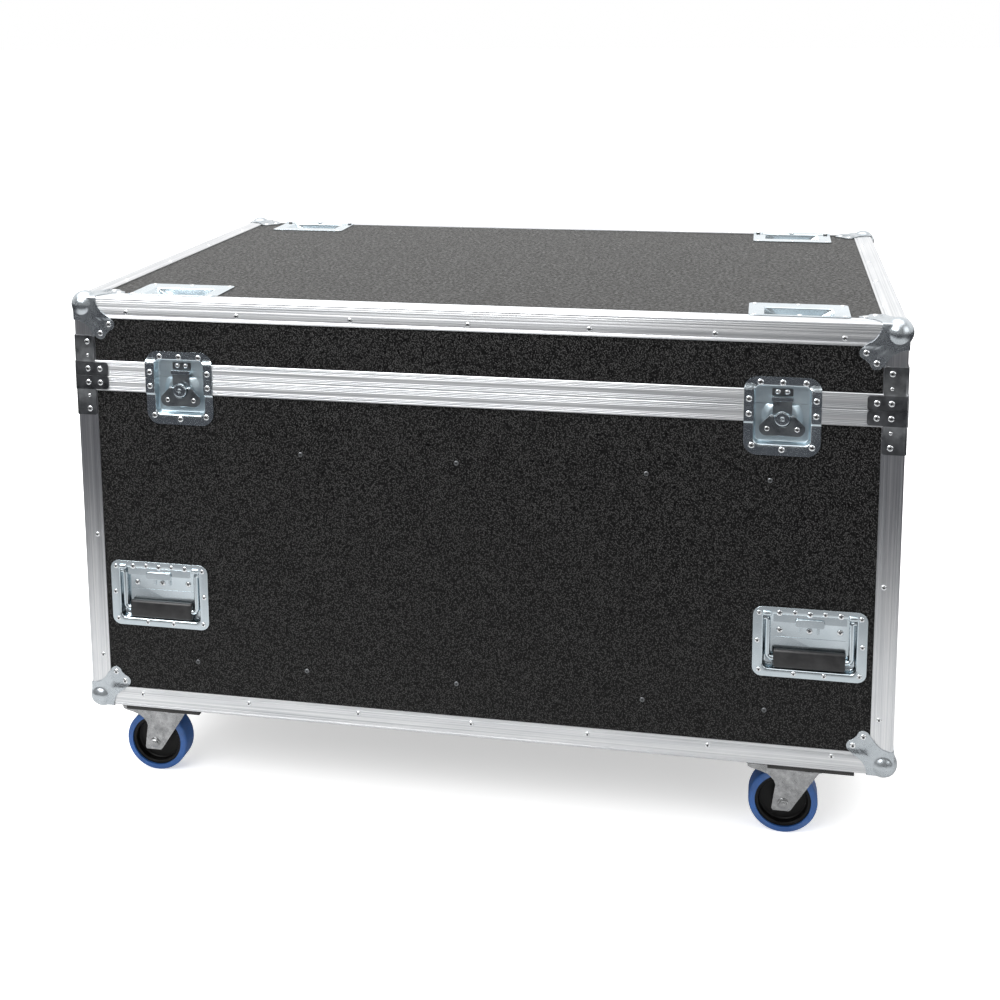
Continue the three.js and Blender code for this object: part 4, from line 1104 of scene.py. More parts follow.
def latch_ring(half, tip, radius, direction, straight):
    """A U outline from the seam round the latch dish's far end and back."""
    start = SEAM + direction * SEAM_GAP / 2
    end = SEAM + direction * tip
    corner = direction * (half - radius)
    side = [(direction * half, start + direction * cut) for cut in straight]
    for a in fillet(14):
        v = end - direction * radius + direction * radius * math.sin(a)
        side.append((corner + direction * radius * math.cos(a), v))
    foot = [(share * corner, end) for share in (0.5, 0, -0.5)]
    return side + foot + [(-u, v) for u, v in reversed(side)]


def latch_flange_face(u, v):
    """Depth of a latch's flange: proud over the closure, then stepped down to the panel."""
    near, far = LATCH_STEP_UPPER if v > SEAM else LATCH_STEP_LOWER
    ramp = smooth_step(CLOSURE_HEIGHT + near, CLOSURE_HEIGHT + far, abs(v - SEAM))
    return FLANGE_PROUD_FACE + (FLANGE_FACE - FLANGE_PROUD_FACE) * ramp


def latch_dish(upper):
    """A latch dish's points and faces, with the finish of each face: satin beyond the rolled edge."""
    direction = 1 if upper else -1
    tip, pocket_tip, straight = LATCH_UPPER if upper else LATCH_LOWER

    def pocket(grow):
        half = LATCH_POCKET_HALF + grow
        return latch_ring(half, pocket_tip + grow, POCKET_ROUND + grow, direction, straight)

    flange = latch_ring(LATCH_HALF, tip, LATCH_ROUND, direction, straight)
    rings = dish(flange, pocket, latch_flange_face, DISH_FLOOR)
    points, faces = loft(rings, closed=False)
    rolled = (len(rings[0]) - 1) * DISH_ROLL_END
    return points, faces[:rolled], faces[rolled:]


# Heads of rivets, screws and bolts
def scaled(profile, radius, height):
    return [(radius * r, height * h) for r, h in profile]


def dome(form, u, v, w, radius, height):
    """A plain domed head."""
    profile = [(radius, 0), (radius, height * 0.3)]
    profile += [(radius * math.cos(a), height * (0.3 + 0.7 * math.sin(a))) for a in fillet(4)[1:-1]]
    form.add(*spun(profile + [(radius * 0.12, height)], RIVET_SIDES), form.spot(u, v, w))


def rivet(form, u, v, w, radius, height):
    """A pop rivet: a domed ring round the snapped end of its mandrel, which is coloured near black as
    painted shade of the hollow.
    """
    spot = form.spot(u, v, w)
    form.add(*spun(scaled(RIVET_RING, radius, height), RIVET_SIDES, fill=False), spot)
    form.add(*spun(scaled(RIVET_CORE, radius, height), RIVET_SIDES), spot, 1)


def cross_screw(form, u, v, w, radius, height):
    """A domed screw with a near-black cross set slightly proud on its head: painted shade standing for a
    cross slot.
    """
    dome(form, u, v, w, radius, height)
    half = radius * 0.5
    thin = radius * 0.13
    for turn in (0.5, QUARTER + 0.5):
        outline = [(-half, -thin), (half, -thin), (half, thin), (-half, thin)]
        spin = form.spot(u, v, w) @ Matrix.Rotation(turn, 4, "Z")
        # The dark cross is painted shade of the slot, not a cut
        form.add(*slab(outline, -height * 1.02, height * 0.3), spin, 1)


def bolt_head(form, spot, radius, height):
    """A washer under a six-sided head with its corners turned off."""
    form.add(*spun(scaled(BOLT_WASHER, radius, height), 24), spot)
    form.add(*spun(scaled(BOLT_HEAD, radius, height), 6), spot)


# Latches
def latch_plates(side, place):
    """Both halves of a latch dish with their rivets."""
    halves = (("upper", "lid", LATCH_RIVETS_UPPER), ("lower", "base", LATCH_RIVETS_LOWER))
    for half, body, spots in halves:
        node = f"latch_{side}_{half}_dish"
        form = Form(place)
        points, rim, floor = latch_dish(half == "upper")
        form.add(points, rim + floor)
        form.tones[len(rim):] = [1] * len(floor)
        pressed(f"{node}_shell", form, [ZINC, SATIN_ZINC], body, node, SHEET, DISH_EDGE)
        heads = Form(place)
        for u, v in spots:
            rivet(heads, u, SEAM + v, latch_flange_face(u, SEAM + v), *RIVET)
        piece(f"{node}_rivets", heads, HEADS, body, node)


def keeper(side, place):
    """The staple over the upper dish, and its riveted pad."""
    node = f"latch_{side}_upper_dish"
    form = Form(place)
    face = ARM_FACE - FIT_GAP - KEEPER_SHEET
    bridge = rounded(-KEEPER_HALF, KEEPER_HALF, KEEPER_LOW, KEEPER_HIGH, 1.0, 3)
    form.add(*slab(bridge, face, KEEPER_SHEET))
    for end in (-1, 1):
        u0, u1 = sorted((end * KEEPER_HALF, end * (KEEPER_HALF - KEEPER_SHEET)))
        cheek = rounded(u0, u1, KEEPER_LOW + KEEPER_CHEEK_INSET, KEEPER_HIGH - KEEPER_CHEEK_INSET, 0.3, 2)
        form.add(*slab(cheek, face + KEEPER_CHEEK_INSET, DISH_FLOOR - face))
    soften(piece(f"latch_{side}_keeper", form, [ZINC], "lid", node), 0.3)
    pad = Form(place)
    outline = rounded(-PAD_HALF, PAD_HALF, PAD_LOW, PAD_HIGH, 1.2, 3)
    pad.add(*slab(outline, DISH_FLOOR - PAD_RISE, PAD_THICKNESS))
    soften(piece(f"latch_{side}_keeper_pad", pad, [DARK_ZINC], "lid", node), 0.3)
    heads = Form(place)
    for end in (-1, 1):
        dome(heads, end * PAD_RIVETS[0], PAD_RIVETS[1], DISH_FLOOR - PAD_RISE, *PAD_RIVET)
    piece(f"latch_{side}_keeper_rivets", heads, [RIVET_STEEL], "lid", node)


def boss(side, place):
    """The raised boss that the spindle turns in, clipped to the pocket and the seam."""
    top = SEAM - SEAM_GAP / 2 - SPINDLE - BOSS_MARGIN
    rings = []
    for radius, height in BOSS_PROFILE:
        ring = circle(radius, -height, 48)
        rings.append([(max(min(u, BOSS_HALF), -BOSS_HALF), min(v, top), w) for u, v, w in ring])
    form = Form(moved(place, 0, SPINDLE, DISH_FLOOR))
    form.add(*loft(rings, fill=False))
    piece(f"latch_{side}_boss", form, [SATIN_ZINC], "base", f"latch_{side}_lower_dish", 50)


def latch_arm(side, place):
    """The strap that the spindle lifts, with its long slot round the spindle."""
    node = f"latch_{side}_arm"
    outline = rounded(-ARM_HALF, ARM_HALF, ARM_LOW, ARM_HIGH, (3, 3, 1, 1), 4)
    slot = []
    for u, v, _ in circle(ARM_SLOT_RADIUS, 0, 24):
        slot.append((u, SPINDLE + v - (ARM_SLOT_STRETCH if v < 0 else 0)))
    form = Form(place)
    form.add(*pierced(outline, slot, ARM_FACE, ARM_THICKNESS))
    soften(piece(f"{node}_strap", form, [LATCH_ZINC], node, node), 0.65, 3)


def pierced(outline, hole, face, thickness):
    """A plate with a hole, filled by the mesh tools, with its faces sorted to be the same each run."""
    work = bmesh.new()
    edges = []
    for line in (outline, hole):
        verts = [work.verts.new((u, v, face)) for u, v in line]
        edges += [work.edges.new(pair) for pair in zip(verts, verts[1:] + verts[:1])]
    bmesh.ops.triangle_fill(work, edges=edges, use_beauty=True)
    made = bmesh.ops.extrude_face_region(work, geom=work.faces[:])
    raised = [item for item in made["geom"] if isinstance(item, bmesh.types.BMVert)]
    bmesh.ops.translate(work, verts=raised, vec=(0, 0, thickness))
    work.verts.index_update()
    points = [tuple(vert.co) for vert in work.verts]
    faces = []
    for item in work.faces:
        corners = [vert.index for vert in item.verts]
        first = corners.index(min(corners))
        faces.append(tuple(corners[first:] + corners[:first]))
    work.free()
    return points, sorted(faces)


def cross_bar(ends, w, radius, sides):
    """A short round bar across the latch, at the height of its pin."""
    return tube([(u, PIN_V, w) for u in ends], radius, sides)


def latch_spindle(side, place):
    """The turned head on its shank, and the pin that the wing folds on."""
    node = f"latch_{side}_spindle"
    out = -HEAD_FACE
    profile = [
        (SHANK_RADIUS, -DISH_FLOOR - 1), (SHANK_RADIUS, out - 3.4), (HEAD_RADIUS, out - 3.4),
        (HEAD_RADIUS, out - 1.1), (HEAD_RADIUS - 0.5, out - 0.45), (HEAD_RADIUS - 1.6, out - 0.05),
        (HEAD_RADIUS - 3, out), (4, out), (2.9, out - 0.15), (2.2, out - 0.6), (0.6, out - 0.8),
    ]
    form = Form(place)
    form.add(*spun(profile, 40))
    form.add(*cross_bar((-PIN_HALF, 0, PIN_HALF), PIN_W, PIN_RADIUS, 8))
    piece(f"{node}_head", form, [ZINC], node, node, 30)


def wing_outline():
    """The wing's edge: two round ears joined by a straight foot, notched for the head."""
    ear_u, ear_v, ear = WING_EAR
    foot_u, foot_v = WING_FOOT
    side, drop = WING_CHAMFER
    line = [(foot_u, foot_v)]
    for i in range(WING_EAR_STEPS + 1):
        a = math.pi * (-0.5 + WING_EAR_TURN * i / WING_EAR_STEPS)
        line.append((ear_u + ear * math.cos(a), ear_v + ear * math.sin(a)))
    line += [(WING_TOP_HALF, WING_TOP), (WING_NOTCH + side, WING_TOP), (WING_NOTCH, WING_TOP - drop)]
    notch = [-math.pi * i / WING_NOTCH_STEPS for i in range(WING_NOTCH_STEPS + 1)]
    mirrored = [(-u, v) for u, v in reversed(line)]
    return line + [(WING_NOTCH * math.cos(a), WING_NOTCH * math.sin(a)) for a in notch] + mirrored


def latch_wing(side, place):
    """The folding wing with its two knuckles and screws."""
    node = f"latch_{side}_wing"
    form = Form(place)
    form.add(*slab(wing_outline(), WING_FACE, WING_THICKNESS))
    for end in (-1, 1):
        ends = [end * u for u in KNUCKLE_ENDS]
        form.add(*cross_bar(ends, WING_FACE + WING_THICKNESS / 2, KNUCKLE_RADIUS, 14))
    soften(piece(f"{node}_plate", form, [LATCH_ZINC], node, node), 0.7, 3)
    heads = Form(place)
    for end in (-1, 1):
        cross_screw(heads, end * WING_SCREWS[0], WING_SCREWS[1], WING_FACE, *WING_SCREW)
    piece(f"{node}_screws", heads, HEADS, node, node)


def latches():
    for side, sign in (("left", -1), ("right", 1)):
        place = moved(FRONT, sign * LATCH_X)
        pivot = moved(place, 0, SPINDLE)
        latch_plates(side, place)
        keeper(side, place)
        boss(side, place)
        latch_arm(side, place)
        latch_spindle(side, pivot)
        latch_wing(side, pivot)


# Handles
def handle_dish(name, place):
    """The pocketed plate of a handle."""
    node = f"handle_{name}_dish"
    flange = rounded(
        -HANDLE_HALF_WIDTH, HANDLE_HALF_WIDTH, -HANDLE_HALF_HEIGHT, HANDLE_HALF_HEIGHT, HANDLE_ROUND, 8, 4,
    )

    def pocket(grow):
        width = HANDLE_POCKET_HALF_WIDTH + grow
        height = HANDLE_POCKET_HALF_HEIGHT + grow
        rounds = [radius + grow for radius in HANDLE_POCKET_ROUNDS]
        return rounded(-width, width, -height, height, rounds, 8, 4)

    form = Form(place)
    form.add(*loft(dish(flange, pocket, lambda u, v: FLANGE_FACE, DISH_FLOOR)))
    pressed(f"{node}_shell", form, [ZINC], "base", node, SHEET, DISH_EDGE)


def handle_hood(name, place):
    """The raised tab and bars, and the closed strip over the pocket's top with the floor's crease."""
    node = f"handle_{name}_dish"
    raised = Form(place)
    raised.add(*slab(rounded(*TAB, TAB_ROUNDS, 5), FLANGE_FACE - TAB_RISE, TAB_THICKNESS))
    for u in DISH_BARS:
        strip = rounded(u - DISH_BAR_HALF, u + DISH_BAR_HALF, *DISH_BAR_ENDS, 1.7, 4)
        raised.add(*slab(strip, DISH_FLOOR - DISH_BAR_RISE, DISH_BAR_THICKNESS))
    soften(piece(f"{node}_raised", raised, [ZINC], "base", node), 1.5, 4)
    form = Form(place)
    form.add(*slab(rounded(*HOOD, HOOD_ROUNDS, 4), FLANGE_FACE, SHEET))
    form.add(*slab(rounded(*CREASE, 0.3, 2), DISH_FLOOR - CREASE_RISE, 2 * CREASE_RISE))
    soften(piece(f"{node}_hood", form, [ZINC], "base", node), 0.6, 3)


def handle_humps(name, place):
    """The two pressed humps that hold the bail's ends."""
    node = f"handle_{name}_dish"
    form = Form(place)
    for end in (-1, 1):
        u = end * (BAIL_HALF_SPAN + 1)
        rings = []
        for half, tall, rise in HUMP_RINGS:
            round_off = min(half, tall) * 0.7
            outline = rounded(u - half, u + half, HUMP_V - tall, HUMP_V + tall, round_off, 5)
            rings.append(level_ring(outline, FLANGE_FACE - rise))
        form.add(*loft(rings))
    piece(f"{node}_humps", form, [ZINC], "base", node, 60)


def handle_fasteners(name, place):
    node = f"handle_{name}_dish"
    heads = Form(place)
    for u, v in HANDLE_RIVETS:
        rivet(heads, u, v, FLANGE_FACE, *HANDLE_RIVET)
    for u, v in HANDLE_SCREWS:
        cross_screw(heads, u, v, FLANGE_FACE, *FLANGE_SCREW)
    for u, v in HANDLE_DOMES:
        cross_screw(heads, u, v, DISH_FLOOR, *FLOOR_SCREW)
    piece(f"{node}_fasteners", heads, HEADS, "base", node)


def bail_path(end):
    """One end of the bail, from its pivot down into the grip."""
    middle = (GRIP_LOW + GRIP_HIGH) / 2
    line = [(u, BAIL_PIVOT) for u in BAIL_ENDS]
    for a in fillet(5)[1:]:
        v = BAIL_PIVOT - BAIL_TURN_RADIUS * (1 - math.cos(a))
        line.append((BAIL_TURN - BAIL_TURN_RADIUS * math.sin(a), v))
    for a in fillet(7):
        line.append((BAIL_HALF_SPAN - BAIL_BEND * (1 - math.cos(a)), middle + BAIL_BEND * (1 - math.sin(a))))
    line.append((GRIP_HALF - 4, middle))
    return [(end * u, v, GRIP_MIDDLE) for u, v in line]


def grip_section(shrink):
    """The grip's outline across its length, with the ridge near its top."""
    half = GRIP_DEPTH / 2 - shrink
    high = GRIP_HIGH - shrink
    outline = []
    for w, v in rounded(-half, half, GRIP_LOW + shrink, high, GRIP_ROUND - shrink * 0.6, 7):
        ridge = RIDGE_HEIGHT * math.exp(-((v - high + RIDGE_DROP) / RIDGE_SPREAD) ** 2)
        narrow = NECK_DEPTH * smooth_step(high - RIDGE_DROP, high - NECK_DROP, v)
        swell = (ridge - narrow) * (1 if w < 0 else 0.6)
        outline.append((w - math.copysign(min(abs(w), 1), -w) * swell, v))
    return outline


def handle_bail(name, place):
    """The sprung bail: a bent rod with a moulded grip."""
    node = f"handle_{name}_bail"
    form = Form(place)
    for end in (-1, 1):
        form.add(*tube(bail_path(end), BAIL_RADIUS, 14))
    piece(f"{node}_rod", form, [ZINC], node, node, 60)
    spots = [(u - GRIP_HALF, shrink) for u, shrink in GRIP_ENDS]
    spots += [(-u, shrink) for u, shrink in reversed(spots)]
    rings = [[(u, v, GRIP_MIDDLE + w) for w, v in grip_section(shrink)] for u, shrink in spots]
    points, faces = loft(rings)
    faces.append(tuple(reversed(range(len(rings[0])))))
    grip = Form(place)
    grip.add(points, faces)
    piece(f"{node}_grip", grip, [GRIP_RUBBER], node, node, 45)


def handles():
    for name, sx, sy in CORNERS:
        place = moved(FRONT if sy < 0 else BACK, -sy * sx * HANDLE_X, HANDLE_Z)
        handle_dish(name, place)
        handle_hood(name, place)
        handle_humps(name, place)
        handle_fasteners(name, place)
        handle_bail(name, place)


# Castor cups
def cup_face(u, v):
    """Depth below the viewer: the flange steps up over the edge extrusion."""
    edge = EDGE_WIDTH - HALF_DEPTH
    ramp = smooth_step(edge - CUP_STEP_HALF, edge + CUP_STEP_HALF, v)
    return -(CUP_FACE + PANEL_INSET * (1 - ramp))


def cup_pocket(grow, half=CUP_POCKET_HALF):
    """Outline of a cup's pocket, grown all round."""
    wide = CUP_POCKET_HALF_WIDTH + grow
    return rounded(
        -half - grow, half + grow, -CUP_POCKET_Y - wide, -CUP_POCKET_Y + wide,
        CUP_POCKET_ROUND + max(grow, 0), 6, 10,
    )


def cup_rings():
    """Rings of a castor cup, whose pocket slopes at its two ends to a shorter floor."""
    near = -CUP_Y - CUP_HALF_WIDTH
    far = -CUP_Y + CUP_HALF_WIDTH
    flange = rounded(-CUP_HALF_LENGTH, CUP_HALF_LENGTH, near, far, CUP_ROUND, 6, 10)
    rings = dish(flange, cup_pocket, cup_face, -CUP_FLOOR, CUP_ROLL, CUP_FILLET, CUP_DRAFT, 5)[:-5]
    slope = (CUP_POCKET_HALF - CUP_FLOOR_HALF) * CUP_SLOPE
    for a in fillet(4):
        grow = -CUP_DRAFT - CUP_FILLET * (1 - math.cos(a))
        outline = cup_pocket(grow, CUP_FLOOR_HALF + slope * (1 - math.sin(a)))
        rings.append(level_ring(outline, -CUP_FLOOR - CUP_FLOOR_RISE * (1 - math.sin(a))))
    return rings


def castor_cups():
    shell = loft(cup_rings())
    for name, sx, sy in CORNERS:
        node = f"castor_cup_{name}"
        form = Form(moved(ABOVE if sy < 0 else ABOVE_TURNED, -sy * sx * CUP_X))
        form.add(*shell)
        pressed(f"{node}_shell", form, [ZINC], "lid", node, CUP_SHEET, 0.3)
        heads = Form(form.place)
        for u in CUP_RIVETS_X:
            for v in CUP_RIVETS_Y:
                rivet(heads, u, v - CUP_Y, cup_face(u, v - CUP_Y), *CUP_RIVET)
        piece(f"{node}_rivets", heads, HEADS, "lid", node)


# Castors
def tyre_profile():
    """(radius, height) round the tyre's section, from its bore over the tread and back."""
    outer = WHEEL_RADIUS
    inner = outer - TYRE_THICKNESS
    side = [
        (inner, TYRE_HALF), (inner + 1, TYRE_HALF), (outer - 6.2, TYRE_HALF), (outer - 4.2, TYRE_HALF - 0.5),
    ]
    for a in fillet(5):
        drop = TREAD_ROUND * (1 - math.cos(a))
        side.append((outer - TREAD_ROUND * (1 - math.sin(a)), TYRE_HALF - 0.6 - drop))
    side.append((outer, TYRE_HALF - 6))
    return side + [(outer, 0)] + [(r, -h) for r, h in reversed(side)]


def hub_profile():
    """(radius, height) round the hub's section, from its bore over web and rim and back."""
    inner = HUB_RIM - HUB_RIM_WALL
    side = [
        (HUB_BORE, HUB_BOSS_HALF), (HUB_BOSS_RADIUS - 1, HUB_BOSS_HALF),
        (HUB_BOSS_RADIUS, HUB_BOSS_HALF - 1),
        (HUB_BOSS_RADIUS + 1.2, HUB_WEB_HALF + 1), (HUB_BOSS_RADIUS + 2.6, HUB_WEB_HALF),
        (inner - 2.5, HUB_WEB_HALF), (inner - 0.8, HUB_WEB_HALF + 1), (inner, HUB_RIM_HALF - 1),
        (inner + 0.8, HUB_RIM_HALF), (HUB_RIM, HUB_RIM_HALF),
    ]
    return side + [(r, -h) for r, h in reversed(side)]


def castor_wheel(name, sx, sy):
    """The tyre and the hub, each a section turned about the axle and closed on itself."""
    place = moved(FRONT, sx * CASTOR_X - WHEEL_OFFSET, WHEEL_RADIUS, sy * CASTOR_Y)
    parts = (
        ("tyre", "tread", tyre_profile(), 96, TYRE_RUBBER, 40),
        ("hub", "disc", hub_profile(), 72, HUB_PLASTIC, 30),
    )
    for part, word, profile, sides, look, sharp in parts:
        node = f"castor_{name}_{part}"
        rings = [circle(radius, height, sides) for radius, height in profile]
        form = Form(place)
        form.add(*loft(rings + rings[:1], fill=False))
        mend(piece(f"{node}_{word}", form, [look], f"castor_{name}_wheel", node, sharp).data, 0.01)


def castor_board(name, sx, sy, place):
    """The black board, rebated over the corner plate."""
    shelf = BOTTOM - FIT_GAP - BOARD_REBATE
    inner, near, far = BOARD_NOTCH
    form = Form(place)
    outline = rounded(-BOARD_HALF_X, BOARD_HALF_X, -BOARD_HALF_Y, BOARD_HALF_Y, BOARD_ROUND, 3)
    form.add(*slab(outline, BOARD_LOW, shelf - BOARD_LOW))
    notched = [
        (-BOARD_HALF_X, -BOARD_HALF_Y), (BOARD_HALF_X, -BOARD_HALF_Y), (BOARD_HALF_X, near), (inner, near),
        (inner, far), (BOARD_HALF_X, far), (BOARD_HALF_X, BOARD_HALF_Y), (-BOARD_HALF_X, BOARD_HALF_Y),
    ]
    turned = [(sx * u, -sy * v) for u, v in notched]
    if sx * sy > 0:
        turned.reverse()
    form.add(*slab(turned, shelf, BOARD_REBATE))
    soften(piece(f"castor_{name}_board", form, [BOARD_PAINT], "base", f"castor_{name}_plate"), 0.5)


def castor_mount(name, place):
    """The top plate with its race and bolts, and the king pin."""
    node = f"castor_{name}_plate"
    metal = Form(place)
    outline = rounded(-PLATE_HALF_X, PLATE_HALF_X, -PLATE_HALF_Y, PLATE_HALF_Y, PLATE_ROUND, 6)
    metal.add(*slab(outline, BOARD_LOW - PLATE_THICKNESS, PLATE_THICKNESS))
    under = moved(place, 0, 0, BOARD_LOW - PLATE_THICKNESS)
    drop = BOARD_LOW - PLATE_THICKNESS - CROWN_TOP - FIT_GAP
    race = [
        (RACE_RADIUS + 7, 0), (RACE_RADIUS + 5.4, 1.6), (RACE_RADIUS + 1.6, 3.4), (RACE_RADIUS, 5),
        (RACE_RADIUS, drop - 1), (RACE_RADIUS - 1, drop), (RACE_BORE, drop),
    ]
    metal.add(*spun(race, 48), under)
    soften(piece(f"castor_{name}_top_plate", metal, [GALVANISED], "base", node, 35), 0.4)
    bolts = Form(place)
    for u in (-PLATE_BOLTS[0], PLATE_BOLTS[0]):
        for v in (-PLATE_BOLTS[1], PLATE_BOLTS[1]):
            bolt_head(bolts, moved(under, u, v), *PLATE_BOLT)
    bolts.add(*spun(KING_PIN, 24), moved(place, 0, 0, FORK_TOP - CROWN_SHEET - FIT_GAP))
    piece(f"castor_{name}_bolts", bolts, [RIVET_STEEL], "base", node, 30)


def between(table, z):
    """A value read from (height, value) pairs, straight between them."""
    for (z0, a), (z1, b) in zip(table, table[1:]):
        if z <= z1:
            return a + (b - a) * max(z - z0, 0) / (z1 - z0)
    return table[-1][1]


def fork_rows():
    """(half width, height) up one cheek, round its bend and over to the middle."""
    rows = [(FORK_HALF, z) for z in FORK_HEIGHTS]
    for a in fillet(5):
        rows.append((FORK_HALF - FORK_BEND * (1 - math.cos(a)), FORK_TOP - FORK_BEND * (1 - math.sin(a))))
    return rows + [(FORK_HALF - FORK_BEND - step, FORK_TOP) for step in FORK_BRIDGE]


def fork_ring(half, z, side):
    """One line of the fork's sheet from its tip to its heel, creased where the cheek turns in."""
    right = between(FORK_RIGHT, z)
    inset = max(half - (FORK_HALF - FORK_TIP_ROUND), 0)
    tip = FORK_TIP + FORK_TIP_ROUND - math.sqrt(max(FORK_TIP_ROUND ** 2 - inset ** 2, 0))
    left = max(between(FORK_LEFT, z), tip)
    crease = min(FORK_CREASE, right - 0.4)
    ring = [(left + (crease - left) * share, half) for share in (0, 0.03, 0.25, 0.5, 0.75, 1)]
    fade = smooth_step(FORK_TOP, FORK_TOP - FORK_FADE, z)
    wide = right - crease
    step = min(FORK_STEP, wide * 0.5)
    for way in [step * 0.5, step] + [step + (wide - step) * share for share in (0.3, 0.6, 0.9, 1)]:
        inward = FORK_STEP_DEPTH * smooth_step(0, FORK_STEP, way) + max(way - FORK_STEP, 0) * FORK_TAPER
        ring.append((crease + way, half - inward * fade))
    return [(u, z, side * w) for u, w in ring]


def castor_fork(name, sx, sy):
    """A pressed fork: two cheeks with a crease, bent over into the visor, with crown and axle."""
    node = f"castor_{name}_fork"
    rows = fork_rows()
    rings = [fork_ring(half, z, -1) for half, z in rows]
    rings += [fork_ring(half, z, 1) for half, z in reversed(rows)]
    form = Form(moved(FRONT, sx * CASTOR_X, 0, sy * CASTOR_Y))
    form.add(*loft(rings, closed=False, fill=False))
    pressed(f"{node}_sheet", form, [GALVANISED], node, node, FORK_SHEET, 0.6)
    crown = [
        (CROWN_RADIUS, -CROWN_SHEET), (CROWN_RADIUS, -0.6), (CROWN_RADIUS - 0.8, 0), (CROWN_RADIUS - 3, 0.3),
        (RACE_RADIUS + 3, 3.2), (RACE_RADIUS, 4), (RACE_BORE, 4),
    ]
    upward = moved(BELOW, sx * CASTOR_X, -sy * CASTOR_Y, FORK_TOP) @ Matrix.Diagonal((1, 1, -1, 1))
    metal = Form(upward)
    metal.add(*spun(crown, 56))
    soften(piece(f"{node}_crown", metal, [GALVANISED], node, node, 35), 0.3)
    bolts = Form()
    for side, way in ((FRONT, 1), (BACK, -1)):
        bolts.place = moved(
            side, way * (sx * CASTOR_X - WHEEL_OFFSET), WHEEL_RADIUS, way * sy * CASTOR_Y - FORK_HALF,
        )
        for profile, sides in ((AXLE_CUP, 32), (AXLE_NUT, 6), (AXLE_TIP, 20)):
            bolts.add(*spun(profile, sides))
    piece(f"{node}_axle", bolts, [GALVANISED], node, node, 30)


def castors():
    for name, sx, sy in CORNERS:
        place = moved(BELOW, sx * CASTOR_X, -sy * CASTOR_Y)
        castor_board(name, sx, sy, place)
        castor_mount(name, place)
        castor_fork(name, sx, sy)
        castor_wheel(name, sx, sy)


# Fasteners of the frames, corners and braces
def side_faces():
    """Each upright side: its facing, half its width, how far its face stands out, and its rivets."""
    for side in (FRONT, BACK):
        yield side, HALF_LENGTH, -HALF_DEPTH, EDGE_RIVETS_X
    for side in (LEFT, RIGHT):
        yield side, HALF_DEPTH, -HALF_LENGTH, EDGE_RIVETS_Y


def frame_rivets():
    base = Form()
    lid = Form()
    for side, half, face, places in side_faces():
        base.place = lid.place = side
        for u in places:
            rivet(base, u, BOTTOM + EDGE_RIVET_INSET, face, *FRAME_RIVET)
            rivet(lid, u, TOP - EDGE_RIVET_INSET, face, *FRAME_RIVET)
        for v in POST_RIVETS:
            for end in (-1, 1):
                rivet(base, end * (half - POST_RIVET_INSET), v, face, *FRAME_RIVET)
    base.place = BELOW
    lid.place = ABOVE
    for end in (-1, 1):
        for u in EDGE_RIVETS_X:
            v = end * (HALF_DEPTH - EDGE_RIVET_INSET)
            if abs(abs(u) - CUP_X) > CUP_HALF_LENGTH:
                rivet(lid, u, v, -TOP, *FRAME_RIVET)
            rivet(base, u, v, BOTTOM, *FRAME_RIVET)
        for v in EDGE_RIVETS_Y:
            u = end * (HALF_LENGTH - EDGE_RIVET_INSET)
            rivet(lid, u, v, -TOP, *FRAME_RIVET)
            rivet(base, u, v, BOTTOM, *FRAME_RIVET)
    piece("base_frame_rivets", base, HEADS, "base")
    piece("lid_frame_rivets", lid, HEADS, "lid")


def panel_rivets():
    form = Form()
    for u, v in PANEL_RIVETS:
        rivet(form, u, v, PANEL_INSET - HALF_DEPTH, *PANEL_RIVET)
    # The second finish is the painted shade in each rivet's hollow
    piece("panel_rivets", form, (DARK_ZINC, HOLLOW_SHADE), "base")


def corner_rivets():
    for body in ("base", "lid"):
        form = Form()
        for _, sx, sy in CORNERS:
            for place in corner_places(sx, sy, body):
                form.place = place
                rivet(form, LOBE_FAR, LOBE_NEAR, PANEL_INSET - CORNER_SKIN, *RIVET)
                rivet(form, LOBE_NEAR, LOBE_FAR, PANEL_INSET - CORNER_SKIN, *RIVET)
        piece(f"{body}_corner_rivets", form, HEADS, body)


def brace_rivets():
    for body, _, away in HALVES:
        form = Form()
        for side, half, face, _ in side_faces():
            form.place = side
            for end in (-1, 1):
                near, far = [end * (half - inset) for inset in BRACE_INSETS]
                for u in (near, far):
                    rivet(form, u, SEAM + away * BRACE_FOOT_RIVET, face - BRACE_FOOT_OUT, *RIVET)
                rivet(form, near, SEAM + away * BRACE_LEG_RIVET, face - BRACE_LEG_OUT, *RIVET)
                dome(form, near, SEAM + away * BRACE_LEG_DOME, face - BRACE_LEG_OUT, *BRACE_DOME)
        piece(f"{body}_brace_rivets", form, HEADS, body)


# Nodes of the frame that stay, with their own finish
def dress_nodes():
    leaves = {"hinge_base_leaf": ZINC, "hinge_lid_leaf": ZINC, "hinge_pin": DARK_ZINC}
    for name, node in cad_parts.items():
        if not name.endswith("_panel") and name not in leaves:
            continue
        node.data.materials.clear()
        node.data.materials.append(leaves.get(name, PANEL))
        if name in leaves:
            node.modifiers.new("joined", "WELD").merge_threshold = 0.01 * MM
            soften(node, 0.3, 2, 30)


# Stage
def camera():
    """The photograph's viewing angle."""
    yaw, pitch, roll = CAMERA_YAW, CAMERA_PITCH, CAMERA_ROLL
    ahead = Vector((math.sin(yaw) * math.cos(pitch), math.cos(yaw) * math.cos(pitch), -math.sin(pitch)))
    right = Vector((math.cos(yaw), -math.sin(yaw), 0))
    down = ahead.cross(right)
    across = right * math.cos(roll) + down * math.sin(roll)
    below = down * math.cos(roll) - right * math.sin(roll)
    data = bpy.data.cameras.new("camera")
    data.sensor_width = 36
    data.lens = CAMERA_LENS
    data.shift_x, data.shift_y = CAMERA_SHIFT
    made = link("camera", data)
    turned = Matrix((across, -below, -ahead)).transposed().to_4x4()
    made.matrix_world = Matrix.Translation(CAMERA_PLACE) @ turned
    bpy.context.scene.camera = made


